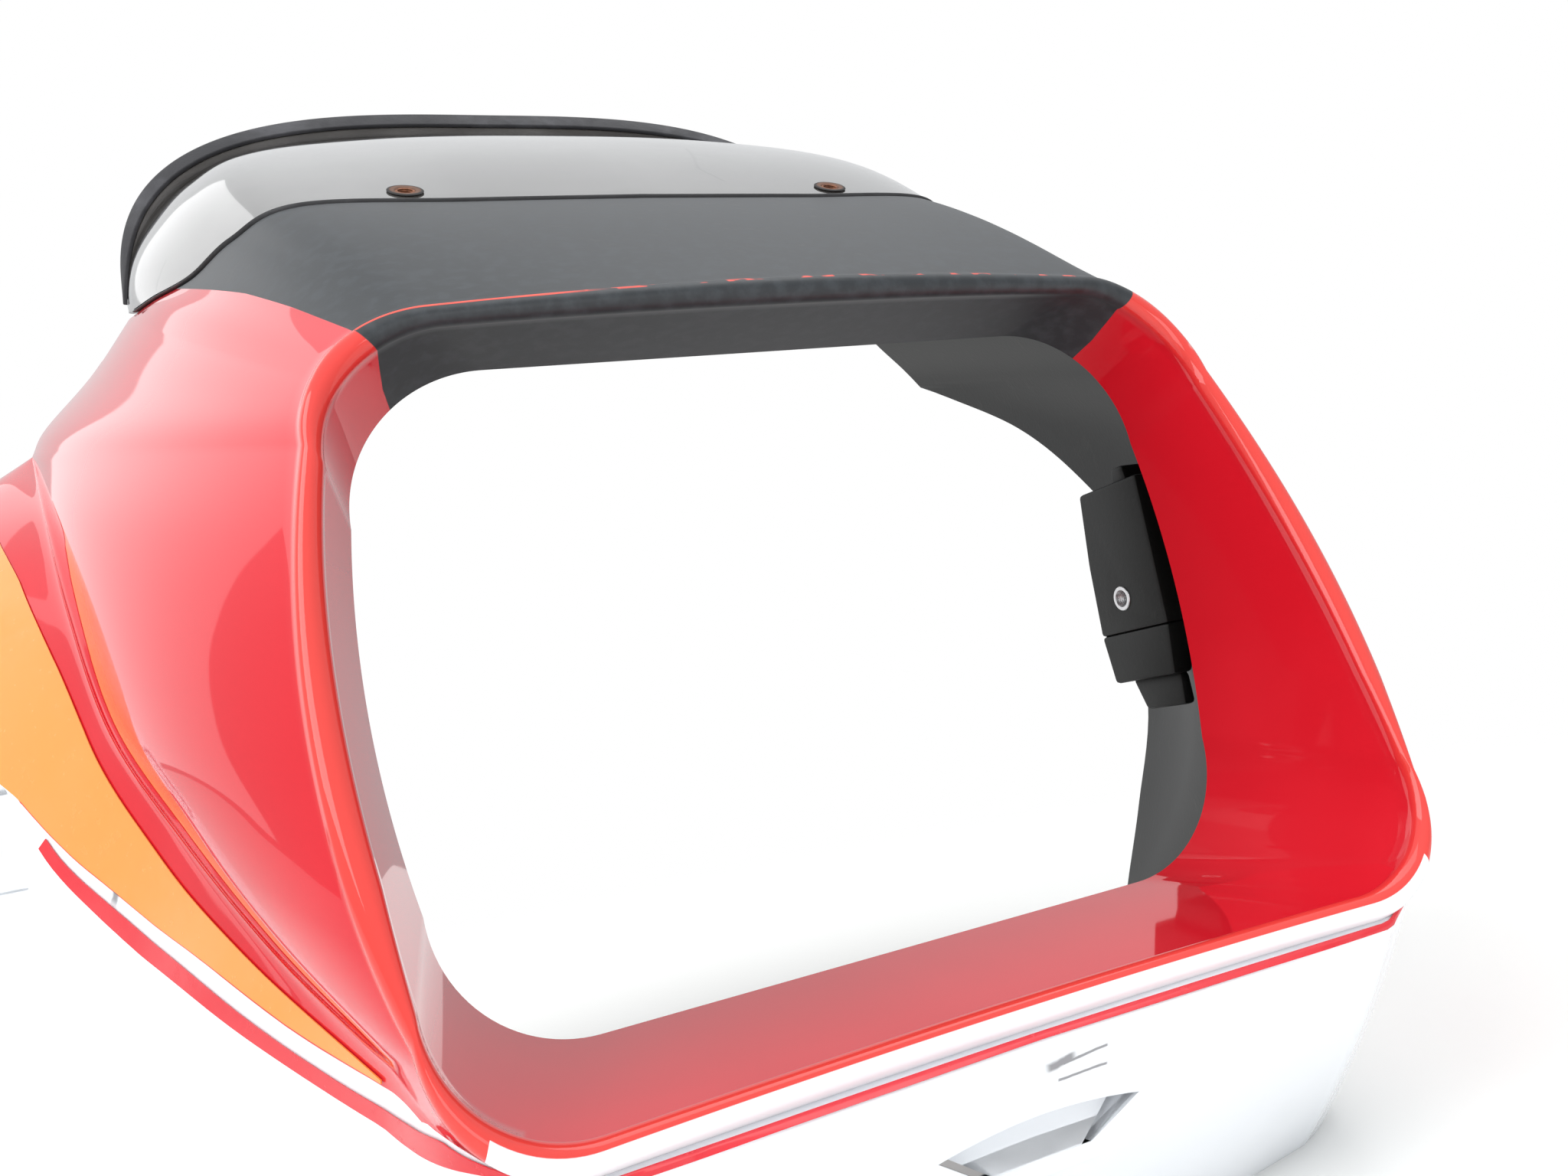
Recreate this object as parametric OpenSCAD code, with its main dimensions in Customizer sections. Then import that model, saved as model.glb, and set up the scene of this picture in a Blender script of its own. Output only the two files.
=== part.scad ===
// Motorcycle cockpit fairing with a rectangular headlight opening and a smoked windscreen.
// X is across the bike, the front faces -Y, and the lower edge rests on Z = 0.

/* [Headlight rim] */
// Half width of the rim at its widest
rim_w = 119; // [112:1:124]
// Height of the rim's top edge
rim_top = 223; // [215:1:228]
// Height of the rim's bottom edge
rim_bottom = 62.5; // [60:0.5:65]
// Corner radius at the top of the rim
rim_r_top = 28; // [20:1:34]
// Corner radius at the bottom of the rim
rim_r_bottom = 26; // [22:1:28]
// How far forward of the middle plane the rim would be at Z = 0
rim_reach = 169; // [160:1:175]
// How much the rim leans back for each millimetre of height
rim_lean = 0.33; // [0.25:0.01:0.38]
// Radius of the rolled bead around the rim
bead_r = 3.2; // [2.5:0.1:4]

/* [Headlight opening] */
// Half width of the opening at its widest
open_w = 107.7; // [90:0.1:110]
// Height of the opening's top edge
open_top = 218; // [200:1:218]
// Height of the opening's bottom edge
open_bottom = 69; // [69:1:80]
// Corner radius at the top of the opening
open_r_top = 34; // [24:1:38]
// Corner radius at the bottom of the opening
open_r_bottom = 32; // [20:1:36]
// How far forward of the middle plane the opening is
open_reach = 82; // [75:1:88]

/* [Shell] */
// Thickness of the moulded shell
wall = 3; // [2.5:0.1:3.5]
// Half width of the shell where its wings are widest
wing_w = 250; // [240:1:265]
// Height at which the wings are widest
wing_z = 130; // [110:1:150]
// How far back the shell's rear edge reaches
rear_y = 146; // [140:1:155]
// How far the nose side bulges outward
side_bulge = 9; // [4:0.5:12]
// How far the chin bulges forward
chin_bulge = 3; // [1:0.5:6]
// How far the flange reaches under the windscreen
flange_w = 18; // [17:0.5:20]

/* [Chin vent] */
// Half width of the vent along its upper edge
vent_w = 24; // [20:1:28]
// Half width of the vent along its lower edge
vent_foot = 13; // [10:1:16]
// Height of the vent's upper edge
vent_top = 41; // [39:0.5:43]
// Height of the vent's lower edge
vent_bottom = 31; // [29:0.5:32]
// Depth of the vent's ramp at its upper edge
vent_depth = 8; // [6:0.5:9]
// Width of the air slot at each end of the vent
vent_slot = 2.4; // [2:0.1:3]

/* [Lamp pocket] */
// Length of the pocket for a turn signal in each wing
pocket_l = 42; // [38:1:46]
// Height of the pocket
pocket_h = 29; // [26:1:32]
// Depth of the pocket
pocket_depth = 5; // [4:0.5:6]
// Diameter of the hole for the turn signal's stem
stem_d = 12; // [8:1:14]

/* [Stay block] */
// Distance of each block's inner face from the middle plane
block_x = 135; // [133:0.5:137]
// Height of the threaded insert's axis
insert_z = 145; // [142:1:148]
// How far forward of the middle plane the insert's axis is
insert_reach = 23; // [21:1:26]
// Outer diameter of the insert
insert_d = 8; // [7:0.5:9]
// Diameter of the insert's bore
insert_bore = 5; // [4:0.5:6]
// Length of the insert
insert_l = 12; // [8:1:12]

/* [Windscreen] */
// Thickness of the windscreen
screen_t = 3; // [2.5:0.1:3.5]
// Half width of the windscreen's front edge
screen_w = 106; // [102:1:108]
// Height of the windscreen's front edge
screen_z = 288; // [285:1:291]
// Height of the windscreen's rear arch
screen_top = 399; // [390:1:405]
// Half width of the windscreen's rear arch
arch_w = 146; // [143:1:149]
// Height of the rear corners of the windscreen
arch_z = 314; // [310:1:317]
// How far the windscreen bulges above the straight line from front to rear
screen_bulge = 7; // [4:0.5:9]
// How far the windscreen dips just ahead of its turned-up rear lip
lip_dip = 8.5; // [5:0.5:10]
// Radius of the sealing cord along the windscreen's front edge
cord_r = 1.2; // [1:0.1:1.3]
// Height of the rubber trim on the windscreen's rear edge
trim_h = 5; // [4:0.5:6]
// Thickness of each lip of the rubber trim
trim_t = 1.5; // [1.2:0.1:1.8]

/* [Windscreen fastener] */
// Diameter of the hole through the windscreen and the flange
hole_d = 7.6; // [7.2:0.1:8]
// Diameter of the rubber nut's head
nut_head_d = 10.4; // [9.6:0.1:11]
// Diameter of the threaded sleeve's bore
sleeve_bore = 4.2; // [3.4:0.1:4.4]
// Length of the rubber nut below its head
nut_l = 14; // [12:1:16]

/* [Hidden] */

// Distance that centres the object on its origin
mid_y = -3;

// Stations along half of the rim, from the middle of the top to the middle of the bottom
top_n = 6;
corner_n = 12;
side_n = 14;
foot_n = 5;
bottom_n = 6;
corner_u = top_n + corner_n;
side_u = corner_u + side_n;
foot_u = side_u + foot_n;
half_n = foot_u + bottom_n;

// Stations along half of the windscreen's front edge, and the last one that the windscreen itself has
seat_u = top_n + 8;
screen_u = seat_u - 0.15;

// Radius of the outward bow of the rim's and the opening's sides, and the heights where they are widest
side_bow_r = 250;
rim_mid = 138;
open_mid = 147;

function lerp(a, b, t) = a + (b - a) * t;
function clamp(x, a, b) = max(a, min(b, x));
function unit(v) = v / norm(v);
function flip(p) = [-p[0], p[1], p[2]];
function ground(p) = [p[0], p[1], max(0, p[2])];

// A smooth curve through pts, where s runs from 0 to the last point's number
function curve(pts, s) =
    let (n = len(pts) - 1, i = max(0, min(floor(s), n - 1)), f = s - i)
    let (b = pts[i], c = pts[i + 1])
    let (a = i > 0 ? pts[i - 1] : 2 * b - c, d = i < n - 1 ? pts[i + 2] : 2 * c - b)
    0.5 * (2 * b + (c - a) * f + (2 * a - 5 * b + 4 * c - d) * f * f + (3 * b - a - 3 * c + d) * f * f * f);

// Half of a rounded outline in X and Z at station u, with bowed sides
function loop_side(w, mid, z) = w - pow(z - mid, 2) / (2 * side_bow_r);
function loop_xz(u, w, mid, top, bottom, r_top, r_bottom) =
    let (z_t = top - r_top, z_b = bottom + r_bottom)
    let (x_t = loop_side(w, mid, z_t) - r_top, x_b = loop_side(w, mid, z_b) - r_bottom)
    u <= top_n ? [x_t * u / top_n, top] :
    u <= corner_u ? let (a = 90 * (u - top_n) / corner_n) [x_t + r_top * sin(a), z_t + r_top * cos(a)] :
    u <= side_u ? let (z = lerp(z_t, z_b, (u - corner_u) / side_n)) [loop_side(w, mid, z), z] :
    u <= foot_u ? let (a = 90 * (u - side_u) / foot_n) [x_b + r_bottom * cos(a), z_b - r_bottom * sin(a)] :
    [x_b * (half_n - u) / bottom_n, bottom];

// Front edge of the rim, which bows forward at the top and back at the bottom
function rim(u) =
    let (q = loop_xz(u, rim_w, rim_mid, rim_top, rim_bottom, rim_r_top, rim_r_bottom))
    let (bow = lerp(9, -12, (q[1] - rim_bottom) / (rim_top - rim_bottom)))
    [q[0], -rim_reach + rim_lean * q[1] + bow * (1 - pow(q[0] / rim_w, 2)), q[1]];

// Free edge of the headlight opening
function opening(u) =
    let (q = loop_xz(u, open_w, open_mid, open_top, open_bottom, open_r_top, open_r_bottom))
    [q[0], -open_reach + 0.045 * (q[1] - 125), q[1]];

// Line where the brow meets the windscreen, then the rear edge, then the crease down to the chin
seat_y = -16;
function seat_line(s) = curve([
    [0, seat_y, screen_z], [screen_w * 0.5, seat_y + 1, screen_z], [screen_w - 8, seat_y + 3, screen_z],
    [screen_w + 9, seat_y + 20, screen_z - 2], [screen_w + 20, seat_y + 46, screen_z - 2],
    [arch_w - 9, seat_y + 90, screen_z + 9], [arch_w, rear_y - 12, arch_z]], s);
shell_rear = [183, rear_y - 4, 268];
function rear_line(s) = curve([
    [arch_w, rear_y - 12, arch_z], [161, rear_y - 2, 297], [178, rear_y, 279], shell_rear], s);
crease_foot = [rim_w - 1, -116, 81];
function crease(s) = curve([
    shell_rear, [175, 66, 228], [168, 18, 190], [160, -14, 155], [147, -42, 127],
    [133, -76, 102], crease_foot], s);

// Second driving line of the shell at station u
function seat(u) = u <= top_n ? seat_line(2 * u / top_n) : seat_line(2 + 4 * (u - top_n) / (seat_u - top_n));
function body_line(u) =
    u <= seat_u ? seat(u) :
    u <= corner_u ? rear_line(3 * (u - seat_u) / (corner_u - seat_u)) :
    u <= side_u ? crease(6 * (u - corner_u) / side_n) :
    u <= foot_u ? curve([crease_foot, [110, -137, 68], [92, -144, 57]], 2 * (u - side_u) / foot_n) :
    curve([[92, -144, 57], [50, -143, 56], [0, -141, 56]], 2 * (u - foot_u) / bottom_n);

// Outer free edge of the shell, from its rear corner down the wing and forward under the chin
wing_edge = [
    shell_rear, [204, 120, 246], [234, 104, 206], [wing_w - 3, 108, 160], [wing_w, 116, wing_z - 25],
    [wing_w - 5, 132, 60], [238, 144, 24], [230, 146, 0], [198, 70, 0], [160, -10, 0], [124, -74, 0]];
function outer_line(u) =
    u <= corner_u ? body_line(u) :
    u <= side_u ? curve(wing_edge, 10 * (u - corner_u) / side_n) :
    u <= foot_u ? curve([[124, -74, 0], [108, -91, 0], [92, -100, 0]], 2 * (u - side_u) / foot_n) :
    curve([[92, -100, 0], [50, -108, 0], [0, -110, 0]], 2 * (u - foot_u) / bottom_n);

// Directions at the rim, back along the reveal and back along the body
function reveal_dir(u) = unit(opening(u) - rim(u));
function chin_share(u) = clamp((u - side_u + 3) / (foot_n + 3), 0.02, 0.9);
function body_dir(u) = unit(lerp(body_line(u), outer_line(u), chin_share(u)) - rim(u));
function rim_out(u) = -unit(reveal_dir(u) + body_dir(u));
function rim_across(u) = unit(body_dir(u) - reveal_dir(u));
function bead(u, a) = rim(u) + bead_r * ((cos(a) - 1) * rim_out(u) + sin(a) * rim_across(u));

// Bulges of the body and of the wing, as a direction times an amount
function body_swell(u) =
    u <= top_n ? [0, -1, 2] :
    u <= corner_u ? lerp([0, -1, 2], [side_bulge, -3, 0], (u - top_n) / corner_n) :
    u <= side_u ? [side_bulge * (1 - pow((u - corner_u) / side_n, 2)), -3, 0] : [0, 0, 0];
function wing_swell(u) =
    u <= corner_u ? [0, 0, 0] :
    u <= side_u ? let (k = (u - corner_u) / side_n) [6, -14, 0] * sin(180 * k) - [0, chin_bulge * k, 0] :
    [0, -chin_bulge, 0];

// Rear arch of the windscreen, and its surface with v from 0 at the front edge to 1 at the arch
function arch_line(u) =
    let (a = 90 * u / seat_u, x = arch_w * pow(sin(a), 5 / 7))
    [x, rear_y - 12 * pow(x / arch_w, 2), arch_z + (screen_top - arch_z) * pow(max(0, cos(a)), 5 / 7)];
function chord(u) = norm(arch_line(u) - seat(u));
function screen_rise(v) =
    v < 0.72 ? screen_bulge * sin(250 * v) : let (w = (v - 0.72) / 0.28) -lip_dip * w * (1 - pow(w, 5));
function screen_up(u) = unit([sin(90 * u / seat_u), -0.2, cos(90 * u / seat_u)]);
function screen_half(u, v) =
    lerp(seat(u), arch_line(u), v) + screen_rise(v) * chord(u) / 196 * screen_up(u);
function screen_at(u, v) = u < 0 ? flip(screen_half(-u, v)) : screen_half(u, v);
function screen_normal(u, v) =
    let (a = clamp(v - 0.02, 0, 1), b = clamp(v + 0.02, 0, 1), c = clamp(u, 0.2 - screen_u, screen_u - 0.2))
    unit(cross(screen_at(c + 0.15, v) - screen_at(c - 0.15, v), screen_at(u, b) - screen_at(u, a)));

// The flange under the windscreen, which steps down by the windscreen's thickness and then follows it,
// and beside the windscreen a short straight lip that runs on from the body
screen_gap = 0.3;
lip_w = 2;
last_u = seat_u - 1;
function flange_drop(u) = (screen_t + screen_gap) * clamp(seat_u + 1 - u, 0, 1);
function flange_len(u) = lookup(u, [[last_u - 1, flange_w], [last_u, 0.65 * flange_w], [seat_u, lip_w]]);
function body_at(u, t) = u < 0 ? flip(body_row(-u, t)) : body_row(u, t);
function body_up(u) =
    unit(cross(body_at(u + 0.3, 2) - body_at(u - 0.3, 2), body_at(u, 2) - body_at(u, 1.8)));
function flange_up(u, v) =
    unit(lerp(screen_normal(min(u, last_u), v), body_up(u), clamp(u - last_u, 0, 2) / 2));
function flange_top(u, k) =
    u <= last_u ? screen_half(u, k * flange_len(u) / chord(u)) :
    let (along = unit(screen_half(last_u, 0.3) - seat(last_u)), on = unit(body_line(u) - body_row(u, 1.9)))
    body_line(u) + flange_len(u) * k * unit(lerp(along, on, clamp(u - last_u, 0, 2) / 2));
function flange(u, k, depth) =
    let (v = u <= last_u ? max(0.02, k * flange_len(u) / chord(u)) : 0.02)
    flange_top(u, k) - (flange_drop(u) * min(1, k / 0.05) + depth) * flange_up(u, v);

// Middle of the fastener hole on the right, and the outward direction there
hole_u = 3.83;
hole_back = 9.5;
hole_at = screen_half(hole_u, hole_back / chord(hole_u));
hole_dir = screen_normal(hole_u, hole_back / chord(hole_u));

// The outer skin, with t from 0 at the opening over 1 at the bead and 2 at the crease to 3 at the free edge
function body_row(u, t) = lerp(bead(u, 100), body_line(u), t - 1) + 4 * (t - 1) * (2 - t) * body_swell(u);
function skin(u, t) =
    t <= 1 ? lerp(opening(u), bead(u, -100), t) :
    t <= 2 ? body_row(u, t) :
    u <= corner_u ? flange(u, t - 2, 0) :
    ground(lerp(body_line(u), outer_line(u), t - 2) + 4 * (t - 2) * (3 - t) * wing_swell(u));
function skin_at(u, t) = u < 0 ? flip(skin(-u, t)) : u > half_n ? flip(skin(2 * half_n - u, t)) : skin(u, t);
function skin_normal(u, t) =
    let (lo = t < 1 ? 0 : t < 2 ? 1.02 : t == 2 ? (abs(u) <= corner_u ? 1.8 : 1.9) : 2.001)
    let (hi = t < 1 ? 1 : t < 2 ? 2 : t == 2 ? (abs(u) <= corner_u ? 2 : 2.1) : 3)
    let (a = max(lo, t - 0.1), b = min(hi, t + 0.1))
    unit(cross(skin_at(u + 0.3, t) - skin_at(u - 0.3, t), skin_at(u, b) - skin_at(u, a)));
function lifted(u, t, h) = skin_at(u, t) + h * skin_normal(u, t);

// The inner skin, a wall's thickness inside, with its own apex behind the rim
function inner_apex(u) = rim(u) - 2 * wall / norm(body_dir(u) - reveal_dir(u)) * rim_out(u);
function level_edge(u, t, p) = t == 3 && u > corner_u ? [p[0], p[1], skin(u, 3)[2]] : p;
function inner_plain(u, t) =
    t > 2 && u <= corner_u ? flange(u, t - 2, wall) :
    ground(level_edge(u, t, skin(u, t) - wall * skin_normal(u, t)));
function inner(u, t) =
    let (k = clamp((u - side_u) / 3, 0, 1), step = t == 2 ? flange_drop(u) * flange_up(u, 0.02) : [0, 0, 0])
    t > 2.2 || t < 1 || k == 0 ? inner_plain(u, t) - step :
    lerp(inner_plain(u, t), lerp(inner_apex(u), inner_plain(u, 2.3), (t - 1) / 1.3), k);

// Rows of the body and of the wing
body_rows = [1.15, 1.3, 1.5, 1.7, 1.85, 2];
wing_rows = [2.05, 2.3, 2.55, 2.8, 3];

// Edges of the tapes, as pairs of station and t
orange_top = [[19, 2.95], [20, 2.27], [21, 2.13], [22, 2.09], [23, 2.06], [24, 2.04], [side_u, 2.04]];
orange_foot = [
    [19, 2.99], [21, 2.98], [22, 2.6], [23, 2.36], [24, 2.23], [25, 2.18], [26, 2.15], [27, 2.12],
    [28, 2.1], [29, 2.09], [31, 2.08], [32, 2.05], [33, 2.01], [half_n, 2.01]];
pin_top = [
    [25, 2.19], [26, 2.17], [27, 2.14], [28, 2.12], [31, 2.12], [32, 2.11], [33, 2.07], [34, 2.03], [43, 2.03]];
pin_foot = [
    [25, 2.21], [26, 2.19], [27, 2.165], [28, 2.145], [31, 2.15], [32, 2.15], [33, 2.13], [34, 2.1], [43, 2.1]];

// A closed grid of points as a solid; with around set, each row also closes on itself and so do the rows
module grid_solid(grid, around) {
    m = len(grid);
    n = len(grid[0]);
    pts = [for (row = grid) for (p = row) p];
    sides = [for (i = [0 : m - (around ? 1 : 2)]) for (j = [0 : n - 1])
        let (a = i * n + j, b = i * n + (j + 1) % n)
        let (c = (i + 1) % m * n + (j + 1) % n, d = (i + 1) % m * n + j)
        each [[a, c, b], [a, d, c]]];
    ends = around ? [] : [[for (j = [0 : n - 1]) j], [for (j = [n - 1 : -1 : 0]) (m - 1) * n + j]];
    polyhedron(pts, concat(sides, ends));
}

// A thin layer on the outer skin between the edges t_a and t_b, with its rows on those of the skin
function layer_row(ts, i, a, b) = clamp(ts[i], a + 0.004 * i, b - 0.004 * (len(ts) - 1 - i));
module layer(stations, t_a, t_b, ts, low, high) {
    last = len(ts) - 1;
    grid = [for (u = stations)
        let (w = u > half_n ? 2 * half_n - u : abs(u), a = lookup(w, t_a), b = lookup(w, t_b))
        concat([for (i = [0 : last]) lifted(u, layer_row(ts, i, a, b), high)],
            [for (i = [last : -1 : 0]) lifted(u, layer_row(ts, i, a, b), low)])];
    m = len(grid);
    n = len(grid[0]);
    pts = [for (row = grid) for (p = row) p];
    sides = [for (i = [0 : m - 2]) for (j = [0 : n - 1])
        let (a = i * n + j, b = i * n + (j + 1) % n)
        let (c = (i + 1) * n + (j + 1) % n, d = (i + 1) * n + j)
        each j > last ? [[a, b, d], [b, c, d]] : [[a, b, c], [a, c, d]]];
    ends = [for (e = [0, m - 1]) for (i = [0 : last - 1])
        let (a = e * n + i, b = a + 1, d = e * n + n - 1 - i, c = d - 1)
        each e == 0 ? [[a, c, b], [a, d, c]] : [[a, b, c], [a, c, d]]];
    polyhedron(pts, concat(sides, ends));
}

// The bare shell: a torus of rows that runs over the outer skin and back along the inner one
module bare_shell() {
    half = concat(
        [for (t = [0, 0.33, 0.67, 1]) [for (u = [0 : half_n]) skin(u, t)]],
        [for (a = [-55, 0, 55, 100]) [for (u = [0 : half_n]) bead(u, a)]],
        [for (t = concat(body_rows, wing_rows)) [for (u = [0 : half_n]) skin(u, t)]],
        [for (t = [3, 2.8, 2.55, 2.3, 2.05, 2, 1.75, 1.5, 1.25]) [for (u = [0 : half_n]) inner(u, t)]],
        [[for (u = [0 : half_n]) inner_apex(u)]],
        [for (t = [0.4, 0]) [for (u = [0 : half_n]) inner(u, t)]]);
    grid_solid([for (row = half) concat(row, [for (u = [half_n - 1 : -1 : 1]) flip(row[u])])], true);
}

// Outline of the chin vent as seen from ahead, grown by edge, with an arched upper side
function vent_outline(edge) = concat(
    [for (k = [-1 : 0.125 : 1]) [(vent_w + 1.6 * edge) * k, vent_top + edge - 2.5 * k * k]],
    [[vent_foot + edge, vent_bottom - edge], [-vent_foot - edge, vent_bottom - edge]]);
module vent_prism(edge) {
    translate([0, -90, 0]) rotate([90, 0, 0]) linear_extrude(80) polygon(vent_outline(edge));
}

// Everything behind a plane through the chin at the vent's foot, where lean tips its top backward
chin_y = skin(half_n, 2 + (56 - vent_bottom) / 56)[1];
module behind(set_back, lean) {
    translate([0, chin_y + set_back, vent_bottom]) rotate([-lean, 0, 0])
        translate([-60, 0, -60]) cube([120, 80, 120]);
}
vent_lean = atan((vent_depth - 5) / (vent_top - vent_bottom));
module vent_backing() {
    difference() {
        intersection() {
            vent_prism(4);
            behind(1.4, -27);
        }
        behind(wall, vent_lean);
    }
}
module vent_cut() {
    difference() {
        vent_prism(0);
        behind(0, vent_lean);
    }
    both_sides() translate([0, -110, 0]) rotate([90, 0, 0]) linear_extrude(30) polygon([
        [vent_w, vent_top - 2.5], [vent_foot, vent_bottom],
        [vent_foot - vent_slot, vent_bottom], [vent_w - vent_slot, vent_top - 2.5]]);
}

// Pocket for a turn signal on the right wing: X toward the nose, Y down and Z outward
pocket_u = 24.4;
pocket_t = 2.34;
pocket_at = skin(pocket_u, pocket_t);
module on_wing() {
    n = skin_normal(pocket_u, pocket_t);
    e = unit(cross(n, [0, 0, 1]));
    d = cross(n, e);
    multmatrix([for (i = [0 : 2]) [e[i], d[i], n[i], pocket_at[i]]]) children();
}
module pocket_slice(edge, z) {
    h = pocket_h / 2 + edge - 4;
    l = pocket_l / 2 + edge - 4;
    for (p = [[-l, -h], [l - 5, -h], [l, h], [-l, h]])
        translate([p[0], p[1], z]) cylinder(r = 4, h = 0.1, $fn = 20);
}
module pocket_backing() {
    hull() {
        pocket_slice(2, -2.2);
        pocket_slice(-1, -pocket_depth - wall);
    }
}
module pocket_cut() {
    hull() {
        pocket_slice(1, 1.5);
        pocket_slice(-3, -pocket_depth);
    }
    translate([-2, 0, -20]) cylinder(d = stem_d, h = 20, $fn = 40);
}

// Block that takes a fairing stay, on the inside of the right wall: X of the wall, then Y and Z
module wedge(points, x0) {
    hull() for (p = points) {
        translate(p) cube(0.1, center = true);
        translate([x0, p[1], p[2]]) cube(0.1, center = true);
    }
}
module stay_block() {
    wedge([[152.4, -42, 182], [160.6, -12, 182], [154, -42, 158], [161.5, -9, 158],
        [148, -42, 134], [166, -8, 134]], block_x);
    wedge([[148, -42, 134], [166, -8, 134], [146, -40, 118], [166, -10, 118]], block_x);
    wedge([[146, -38, 118.5], [163, -14, 118.5], [147, -37, 108], [161, -18, 108]], block_x + 4);
    wedge([[153, -34, 181], [156, -26, 181], [152, -33, 187], [154, -27, 187]], block_x + 3);
}

// Placing a piece on a surface: its own +Z goes to the outward direction n, at the point p
module set_on(p, n) {
    translate(p) rotate([0, acos(n[2]), atan2(n[1], n[0])]) children();
}
module both_sides() {
    children();
    mirror([1, 0, 0]) children();
}

module fairing_shell() {
    difference() {
        union() {
            color("firebrick") bare_shell();
            color("firebrick") vent_backing();
            color("firebrick") both_sides() on_wing() pocket_backing();
            color("dimgray") both_sides() stay_block();
        }
        color("white") vent_cut();
        color("white") both_sides() on_wing() pocket_cut();
        both_sides() set_on(hole_at, hole_dir) cylinder(d = hole_d, h = 20, center = true, $fn = 40);
        both_sides() translate([block_x - 1, -insert_reach, insert_z]) rotate([0, 90, 0])
            cylinder(d = insert_d + 0.2, h = insert_l + 1.4, $fn = 48);
    }
}

module windscreen() {
    front = 2 * cord_r + 1.1;
    stations = concat([-screen_u, 0.5 - seat_u], [for (u = [1 - seat_u : seat_u - 1]) u], [seat_u - 0.5, screen_u]);
    rows = [0, 0.07, 0.15, 0.25, 0.37, 0.5, 0.62, 0.7, 0.76, 0.82, 0.88, 0.94, 1];
    grid = [for (u = stations) let (c = chord(abs(u)), a = min(front / c, 0.4), b = 1 - min(trim_h / c, 0.35))
        let (vs = concat([for (k = rows) lerp(a, b, k)], [1]))
        concat([for (v = vs) screen_at(u, v)],
            [for (i = [len(vs) - 1 : -1 : 0]) screen_at(u, vs[i]) - screen_t * screen_normal(u, vs[i])])];
    m = len(grid);
    n = len(grid[0]);
    pts = [for (row = grid) for (p = row) p];
    sides = [for (i = [0 : m - 2]) for (j = [0 : n - 1])
        let (p = i * n + j, q = i * n + (j + 1) % n)
        let (r = (i + 1) * n + (j + 1) % n, s = (i + 1) * n + j)
        each [[p, q, r], [p, r, s]]];
    ends = [for (e = [0, m - 1]) for (i = [0 : n / 2 - 2])
        let (p = e * n + i, q = p + 1, s = e * n + n - 1 - i, r = s - 1)
        each e == 0 ? [[p, r, q], [p, s, r]] : [[p, q, r], [p, r, s]]];
    color([0.16, 0.15, 0.15, 0.6]) difference() {
        polyhedron(pts, concat(sides, ends));
        both_sides() set_on(hole_at, hole_dir) cylinder(d = hole_d, h = 20, center = true, $fn = 40);
    }
}

// Black sealing cord in the groove between the brow and the windscreen
module screen_cord() {
    stations = concat([0.6 - seat_u], [for (u = [1 - seat_u : seat_u - 1]) u], [seat_u - 0.6]);
    grid = [for (u = stations)
        let (w = abs(u), out = screen_normal(u, 0.02), ahead = unit(screen_at(u, 0.05) - screen_at(u, 0)))
        let (mid = screen_at(u, 0) + (0.9 + cord_r) * ahead - 1.35 * out)
        [for (a = [0 : 45 : 315]) mid + cord_r * cos(a) * ahead + 1.85 * sin(a) * out]];
    color("black") grid_solid(grid, false);
}

// Rubber channel pressed over the windscreen's rear edge
module screen_edge_trim() {
    stations = concat([0.3 - seat_u, 0.6 - seat_u], [for (u = [1 - seat_u : seat_u - 1]) u], [seat_u - 0.6, seat_u - 0.3]);
    grid = [for (u = stations)
        let (b = 1 - min(trim_h / chord(abs(u)), 0.35), out = screen_normal(u, 1), in = screen_normal(u, b))
        let (edge = screen_at(u, 1), foot = screen_at(u, b), on = unit(edge - foot))
        let (top = 0.15, under = -screen_t - 0.15)
        [foot + top * in, edge + 0.15 * on + top * out, edge + 0.15 * on + under * out, foot + under * in,
            foot + (under - trim_t) * in, edge + (0.15 + trim_t) * on + (under - trim_t) * out,
            edge + (0.15 + trim_t) * on + (top + trim_t) * out, foot + (top + trim_t) * in]];
    m = len(grid);
    pts = [for (row = grid) for (p = row) p];
    sides = [for (i = [0 : m - 2]) for (j = [0 : 7])
        let (a = i * 8 + j, b = i * 8 + (j + 1) % 8, c = b + 8, d = a + 8)
        each [[a, c, b], [a, d, c]]];
    caps = [[0, 1, 6, 7], [1, 2, 5, 6], [2, 3, 4, 5]];
    near = [for (q = caps) each [[q[0], q[1], q[2]], [q[0], q[2], q[3]]]];
    far = [for (f = near) [for (k = [2 : -1 : 0]) f[k] + (m - 1) * 8]];
    color("black") polyhedron(pts, concat(sides, near, far));
}

// Rubber nut through the windscreen and the flange, and the threaded sleeve bonded into it
nut_d = hole_d - 0.4;
sleeve_d = 5.6;
module well_nut(dir) {
    color("black") mirror([dir < 0 ? 1 : 0, 0, 0]) set_on(hole_at, hole_dir) difference() {
        union() {
            translate([0, 0, 0.25]) cylinder(d = nut_head_d, h = 1.1, $fn = 64);
            translate([0, 0, -nut_l]) cylinder(d = nut_d, h = nut_l + 0.6, $fn = 64);
        }
        translate([0, 0, -nut_l - 1]) cylinder(d = sleeve_d + 0.1, h = nut_l + 5, $fn = 64);
    }
}
module nut_sleeve(dir) {
    color("saddlebrown") mirror([dir < 0 ? 1 : 0, 0, 0]) set_on(hole_at, hole_dir) difference() {
        translate([0, 0, -nut_l]) cylinder(d = sleeve_d, h = nut_l + 0.8, $fn = 64);
        translate([0, 0, -nut_l - 1]) cylinder(d = sleeve_bore, h = nut_l + 5, $fn = 64);
    }
}

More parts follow.
